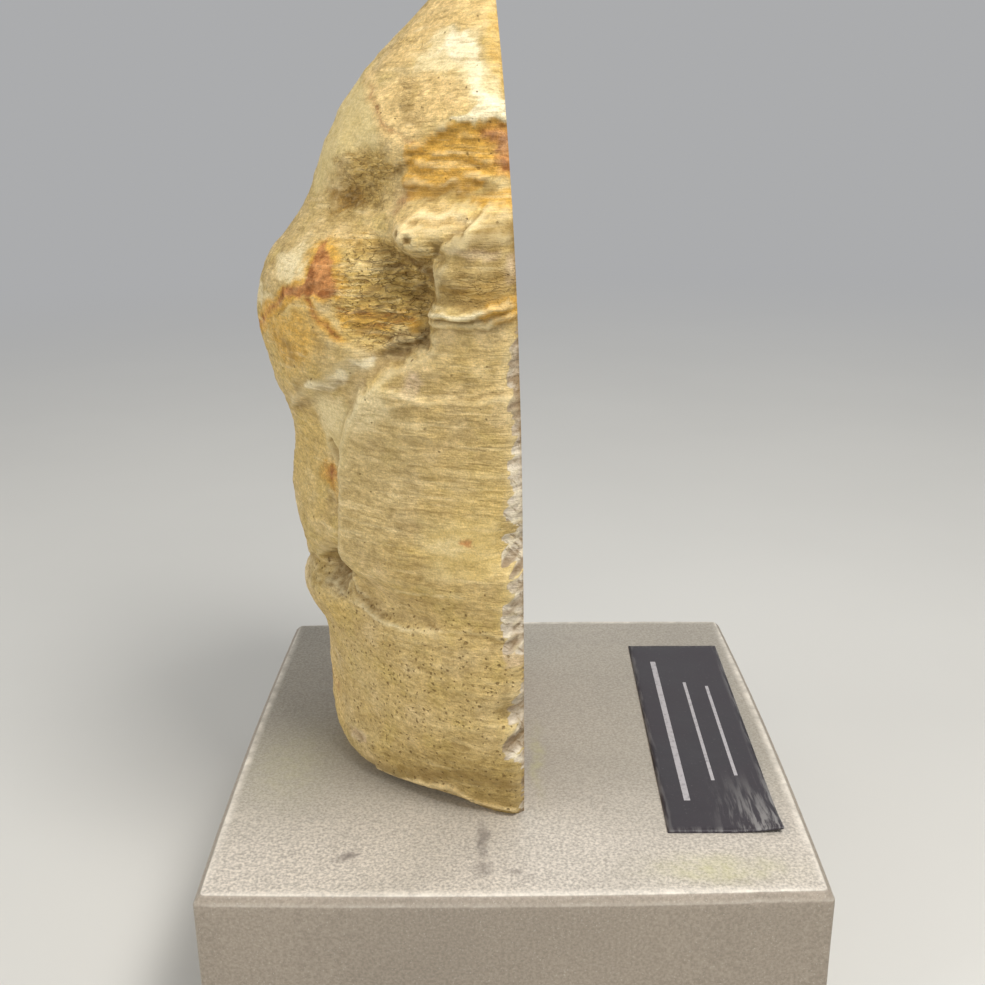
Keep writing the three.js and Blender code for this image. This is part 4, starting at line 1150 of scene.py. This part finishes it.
def label_material():
    """Thin black film, dusty and scuffed at its near end."""
    t = Tree("label_film")
    cloud = t.noise(60, 3)
    colour = t.ramp(cloud, [(0.35, (0.022, 0.018, 0.022)), (0.65, (0.036, 0.030, 0.036))])
    colour = t.mix(t.between(t.noise(1400, 3, 0.65), 0.60, 0.74, 0, 0.3), colour, (0.16, 0.15, 0.15))
    scratch = t.stretched_noise((900, 90, 900), 3, 0.6, t.warped(60, 0.002))
    scuff = t.mask("scuff") * t.between(scratch, 0.44, 0.62)
    colour = t.mix(scuff * 0.6, colour, (0.33, 0.32, 0.31))
    roughness = t.linear(cloud, 0.3, 0.7, 0.34, 0.5)
    normal = t.bump(t.noise(300, 3), 0.0001, 0.4)
    return t.finish(Base_Color=colour, Roughness=roughness, Normal=normal, Specular_IOR_Level=0.25)


def print_material():
    """Worn grey ink for the ruled lines."""
    t = Tree("label_print")
    worn = t.noise(900, 4, 0.65)
    colour = t.mix(t.between(worn, 0.5, 0.72, 0, 0.6), (0.40, 0.385, 0.40), (0.13, 0.12, 0.13))
    return t.finish(Base_Color=colour, Roughness=t.linear(worn, 0.3, 0.7, 0.42, 0.6))


BACKDROP_COLOUR = (0.97, 0.98, 1.0, 1)
BACKDROP_STRENGTH = 0.42
# the floor fades into the backdrop between these distances, in metres
FLOOR_FADE = (0.3, 1.15)


def floor_material():
    """Pale paint near the object, fading far out into the plain backdrop."""
    t = Tree("floor_paint")
    away = t.between(t.length(t.place), *FLOOR_FADE)
    colour = t.mix(t.noise(6, 3), (0.64, 0.63, 0.595), (0.70, 0.69, 0.65))
    return t.finish(
        Base_Color=t.mix(away, colour, (0, 0, 0)), Roughness=t.linear(t.noise(180, 3), 0.3, 0.7, 0.6, 0.75),
        Specular_IOR_Level=0.0, Emission_Color=BACKDROP_COLOUR, Emission_Strength=away * BACKDROP_STRENGTH,
    )


# ---- The block ----

BLOCK_SIDE = 129.0
BLOCK_CORNER_RADIUS = 1.0
BLOCK_CROWN = 1.0
BLOCK_SIDE_STEPS = 116
BLOCK_CORNER_STEPS = 8
# (inset, level) from the underside up to the top's edge
BLOCK_PROFILE = [
    (0.8, 0), (0.45, 0.22), (0.18, 0.5), (0.04, 0.85), (0, 1.4), (0, 6), (0, 12), (0, 18), (0, 24), (0, 30),
    (0, 33.5), (0, 35.2), (0.02, 36), (0.09, 36.3), (0.22, 36.5), (0.6, 36.95), (1.0, 37.4), (1.3, 37.72),
    (1.5, 37.9), (1.75, 37.98), (2.1, 38),
]
# rings over the top, down to a last one of this half width
BLOCK_TOP_RINGS = 46
BLOCK_LAST_RING = 1.6
# nicks along the near top edge: (x, size, depth)
BLOCK_NICKS = [(48.4, 1.1, 0.5), (49.6, 0.7, 0.3), (53.8, 1.5, 0.4), (-22, 0.9, 0.25), (15, 1.0, 0.2)]
BLOCK_NICK_LEVEL = 36.6
# marks on the top: (x, y, half width, half depth, tilt, strength)
BLOCK_MARKS = {
    "grime_and_shade": [
        (-34.2, -50.6, 1.9, 1.5, 30, 0.9), (-6.2, -46, 0.9, 8, 4, 0.75), (-6, -54.5, 1.2, 2.4, 0, 0.7),
        (0.6, -55.6, 2.2, 0.5, 10, 0.6), (2.4, -58, 1.4, 0.7, 0, 0.5), (45, -59, 5, 0.8, 0, 0.3),
        # the two large faint marks darken the top's left and back, a painted shade; the thin strip beside the
        # stone's foot is painted shade
        (-47, 20, 14, 24, 0, 0.14), (20, 52, 24, 8, 0, 0.11), (6.2, -13, 1.2, 13, 0, 0.25),
    ],
    # the mark at (6.2, -13) tints that strip green, a painted reflection
    "olive": [(42, -55.5, 12, 4, 0, 0.75), (6.2, -13, 1.2, 13, 0, 0.6), (-52, -14, 9, 16, 0, 0.3)],
}


def block_ring(inset, level):
    """A square ring with rounded corners and slightly crowned sides, counter-clockwise from above."""
    half = BLOCK_SIDE / 2 - inset
    radius = min(BLOCK_CORNER_RADIUS, half * 0.6)
    crown = BLOCK_CROWN * half / (BLOCK_SIDE / 2)
    straight = half - crown - radius
    along = np.linspace(-straight, straight, BLOCK_SIDE_STEPS + 1)
    angle = np.linspace(0, np.pi / 2, BLOCK_CORNER_STEPS + 1)[1:-1]
    x = np.concatenate([half - crown * (along / straight) ** 2, straight + radius * np.cos(angle)])
    y = np.concatenate([along, straight + radius * np.sin(angle)])
    sides = [(x * c - y * s, x * s + y * c) for c, s in ((1, 0), (0, 1), (-1, 0), (0, -1))]
    return np.concatenate([np.stack([*side, np.full(len(x), float(level))], -1) for side in sides])


def make_block(material):
    edge = BLOCK_PROFILE[-1][0]
    inward = (BLOCK_SIDE / 2 - BLOCK_LAST_RING - edge) / BLOCK_TOP_RINGS
    top = [(edge + inward * step, BLOCK_HEIGHT) for step in range(1, BLOCK_TOP_RINGS + 1)]
    rings = np.array([block_ring(inset, level) for inset, level in BLOCK_PROFILE + top])
    # views of the rings, which follow their changes
    x, y, z = np.moveaxis(rings, -1, 0)
    wave = fractal(rings / 22, 2, 200)
    ripple = fractal(rings / 3.2, 2, 210)
    dip = np.clip(0.05 + 0.05 * wave + 0.02 * ripple, 0, 0.2)
    on_top = smoothstep(z, 37.7, 37.99)
    nicks = sum(
        depth * np.exp(-(((x - at) / size) ** 2 + ((z - BLOCK_NICK_LEVEL) / 0.9) ** 2)) * (y < -60)
        for at, size, depth in BLOCK_NICKS
    )
    rings[..., :2] *= (1 - (dip * (1 - on_top) + nicks) / (BLOCK_SIDE / 2))[..., None]
    rings[..., 2] -= dip * 0.5 * on_top

    warp = [fractal(rings / 4, 3, seed) * 1.1 for seed in (220, 230)]
    masks = {}
    for name, marks in BLOCK_MARKS.items():
        masks[name] = np.zeros(x.shape)
        for at_x, at_y, half_width, half_depth, tilt, most in marks:
            u, v = tilted(x + warp[0] - at_x, y + warp[1] - at_y, half_width, half_depth, tilt)
            masks[name] = np.maximum(masks[name], most * np.exp(-(u**2 + v**2)) * on_top)
    inset = BLOCK_SIDE / 2 - np.maximum(np.abs(x), np.abs(y))
    # paler paint along the top edge and where the chamfer starts: painted highlight lines, broken up like
    # wear
    rim = np.exp(-(((z - 37.93) / 0.16) ** 2)) * (1 - smoothstep(inset, 2.4, 3.4))
    edge_band = rim + 0.35 * np.exp(-(((z - 36.35) / 0.2) ** 2))
    masks["worn"] = np.clip(edge_band * (0.85 + 0.4 * fractal(rings / 6, 2, 240)), 0, 1)
    # the top lighter towards its near edge: a painted sheen
    masks["painted_sheen"] = on_top * smoothstep(-y, 12, 62) * np.clip(0.85 + 0.3 * wave, 0, 1)
    # marks the top, whose paint is lighter than the sides' painted shade
    masks["top"] = on_top

    rows, count = x.shape
    points = np.concatenate([rings.reshape(-1, 3), [[0, 0, 0], [0, 0, z[-1].mean()]]])
    block = mesh_object("stand_block_painted", points, closed_faces(rows, count), [material])
    for name, values in masks.items():
        add_mask(block, name, np.append(values, (0, name == "top")))
    return block


# ---- The label ----

PLATE_WIDTH = 24.6
PLATE_LENGTH = 88.6
PLATE_STEPS = (32, 100)
PLATE_THICKNESS = 0.6
PLATE_CENTRE = (46.1, 0.9)
PLATE_TURN = math.radians(-0.8)
# the near right corner curls up by this much, from this far off
PLATE_LIFT = 1.1
PLATE_LIFT_REACH = 13.0
# the film's top falls by this much towards its edges
PLATE_EDGE_FALL = 0.22
PLATE_EDGE_WIDTH = 0.9
# plain ruled lines where a label carries its print: (across from, across to, along from, along to)
PLATE_RULES = [(-7.3, -5.9, -33, 34), (0.0, 0.8, -25, 22), (5.6, 6.4, -23, 20)]


def cuts(length, steps, edges):
    """Even cuts over a centred length, and the rules' edges."""
    return sorted(set(np.round([*np.linspace(-length / 2, length / 2, steps + 1), *edges], 4)))


def make_label(film, ink):
    across = cuts(PLATE_WIDTH, PLATE_STEPS[0], [edge for rule in PLATE_RULES for edge in rule[:2]])
    along = cuts(PLATE_LENGTH, PLATE_STEPS[1], [edge for rule in PLATE_RULES for edge in rule[2:]])
    u, v = np.meshgrid(across, along)
    to_corner = np.hypot(u - PLATE_WIDTH / 2, v + PLATE_LENGTH / 2)
    lift = PLATE_LIFT * np.clip(1 - to_corner / PLATE_LIFT_REACH, 0, 1) ** 2
    from_edge = np.minimum(PLATE_WIDTH / 2 - np.abs(u), PLATE_LENGTH / 2 - np.abs(v))
    wave = fractal(np.stack([u, v, u * 0], -1) / 9, 2, 300)
    fall = PLATE_EDGE_FALL * (1 - smoothstep(from_edge, 0, PLATE_EDGE_WIDTH))
    fall += np.clip(0.05 * wave + 0.03, 0, 0.1)
    c, s = math.cos(PLATE_TURN), math.sin(PLATE_TURN)
    x, y = u * c - v * s + PLATE_CENTRE[0], u * s + v * c + PLATE_CENTRE[1]
    under = np.stack([x, y, BLOCK_HEIGHT + lift], -1).reshape(-1, 3)
    over = np.stack([x, y, BLOCK_HEIGHT + PLATE_THICKNESS + lift - fall], -1).reshape(-1, 3)

    half = u.size
    grid = np.arange(half).reshape(u.shape)
    near_left, near_right, far_right, far_left = grid[:-1, :-1], grid[:-1, 1:], grid[1:, 1:], grid[1:, :-1]
    below = np.stack([near_left, far_left, far_right, near_right], -1).reshape(-1, 4)
    above = np.stack([near_left, near_right, far_right, far_left], -1).reshape(-1, 4) + half
    border = np.concatenate([grid[0, :-1], grid[:-1, -1], grid[-1, :0:-1], grid[:0:-1, 0]])
    after = np.roll(border, -1)
    walls = np.stack([border, after, after + half, border + half], -1)
    at_u, at_v = ((field[:-1, :-1] + field[1:, 1:]).ravel() / 2 for field in (u, v))
    inked = sum((at_u > u0) & (at_u < u1) & (at_v > v0) & (at_v < v1) for u0, u1, v0, v1 in PLATE_RULES)
    label = mesh_object(
        "label_plate_film", np.concatenate([under, over]), np.concatenate([below, above, walls]).tolist(),
        [film, ink], np.concatenate([np.zeros(len(below), int), inked, np.zeros(len(walls), int)]),
    )
    near_end = 1 - smoothstep(v, -44, -18)
    scuff = near_end * smoothstep(u, -4, 9) + 0.5 * (1 - smoothstep(from_edge, 0.2, 1.6))
    add_mask(label, "scuff", np.concatenate([scuff * 0, np.clip(scuff, 0, 1)]))
    sharpen(label, lambda a, b: np.isin(a, border) & np.isin(b, border))
    return label


# ---- Floor, light and camera ----

FLOOR_RADIUS = 4000.0
FLOOR_SIDES = 96
# lamps, in metres: (name, place, width, height, watts, colour); all look at one target
LAMP_TARGET = Vector((0, 0, 0.1))
LAMPS = [
    ("key", (0.19, -0.235, 0.53), 0.2, 0.2, 2.5, (1, 0.98, 0.95)),
    ("left", (-1.35, -0.55, 0.5), 0.9, 0.7, 8.5, (1, 0.985, 0.96)),
    ("front", (0, -1.2, 0.6), 0.8, 0.6, 0.8, (1, 0.98, 0.95)),
    ("back", (0.4, 1.0, 0.8), 0.9, 0.6, 2.0, (0.97, 0.98, 1)),
]
# the photo's camera: place in millimetres; turn to the right, down and about its own axis in degrees
CAMERA_PLACE = Vector((-1.647, -252.224, 185.327))
CAMERA_TURNS = (-0.41906, 18.6233, -0.7437)
CAMERA_LENS = 42.067
CAMERA_SENSOR = 36


def make_floor(material):
    angle = np.linspace(0, 2 * np.pi, FLOOR_SIDES, endpoint=False)
    edge = np.stack([np.cos(angle), np.sin(angle), angle * 0], -1) * FLOOR_RADIUS
    floor = mesh_object("studio_floor", edge, [list(range(FLOOR_SIDES))], [material], smooth=False)


def make_light():
    """Four soft boxes and a pale, plain backdrop."""
    world = bpy.data.worlds.new("studio")
    world.use_nodes = True
    background = world.node_tree.nodes["Background"]
    background.inputs["Color"].default_value = BACKDROP_COLOUR
    background.inputs["Strength"].default_value = BACKDROP_STRENGTH
    bpy.context.scene.world = world
    for name, place, width, height, watts, colour in LAMPS:
        light = bpy.data.lights.new(name, "AREA")
        light.shape = "RECTANGLE"
        light.size, light.size_y = width, height
        light.energy = watts
        light.color = colour
        lamp = bpy.data.objects.new(name, light)
        lamp.location = place
        lamp.visible_camera = False
        lamp.rotation_mode = "QUATERNION"
        lamp.rotation_quaternion = (LAMP_TARGET - Vector(place)).to_track_quat("-Z", "Y")
        bpy.context.scene.collection.objects.link(lamp)


def make_camera():
    """46 degrees wide, looking slightly down on the near side."""
    data = bpy.data.cameras.new("camera")
    data.sensor_fit = "HORIZONTAL"
    data.sensor_width = CAMERA_SENSOR
    data.lens = CAMERA_LENS
    data.clip_start = 0.01
    data.clip_end = 50
    yaw, pitch, roll = (math.radians(turn) for turn in CAMERA_TURNS)
    forward = Vector((math.sin(yaw) * math.cos(pitch), math.cos(yaw) * math.cos(pitch), -math.sin(pitch)))
    level = Vector((math.cos(yaw), -math.sin(yaw), 0))
    up = level.cross(forward)
    right = level * math.cos(roll) + up * math.sin(roll)
    above = up * math.cos(roll) - level * math.sin(roll)
    camera = bpy.data.objects.new("camera", data)
    turned = Matrix((right, above, -forward)).transposed().to_4x4()
    camera.matrix_world = Matrix.Translation(CAMERA_PLACE * MM) @ turned
    bpy.context.scene.collection.objects.link(camera)
    bpy.context.scene.camera = camera


make_camera()
make_light()
make_floor(floor_material())

stone = make_stone(rough_stone_material(), polished_stone_material())
block = make_block(block_material())
label = make_label(label_material(), print_material())
for piece, node, slot in (
    (stone, "petrified_wood", "petrified_wood"),
    (block, "stand_block", "stand_paint"),
    (label, "label_plate", "label_black"),
):
    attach(piece, "root")
    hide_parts(node)
bpy.context.scene.view_settings.view_transform = "Standard"
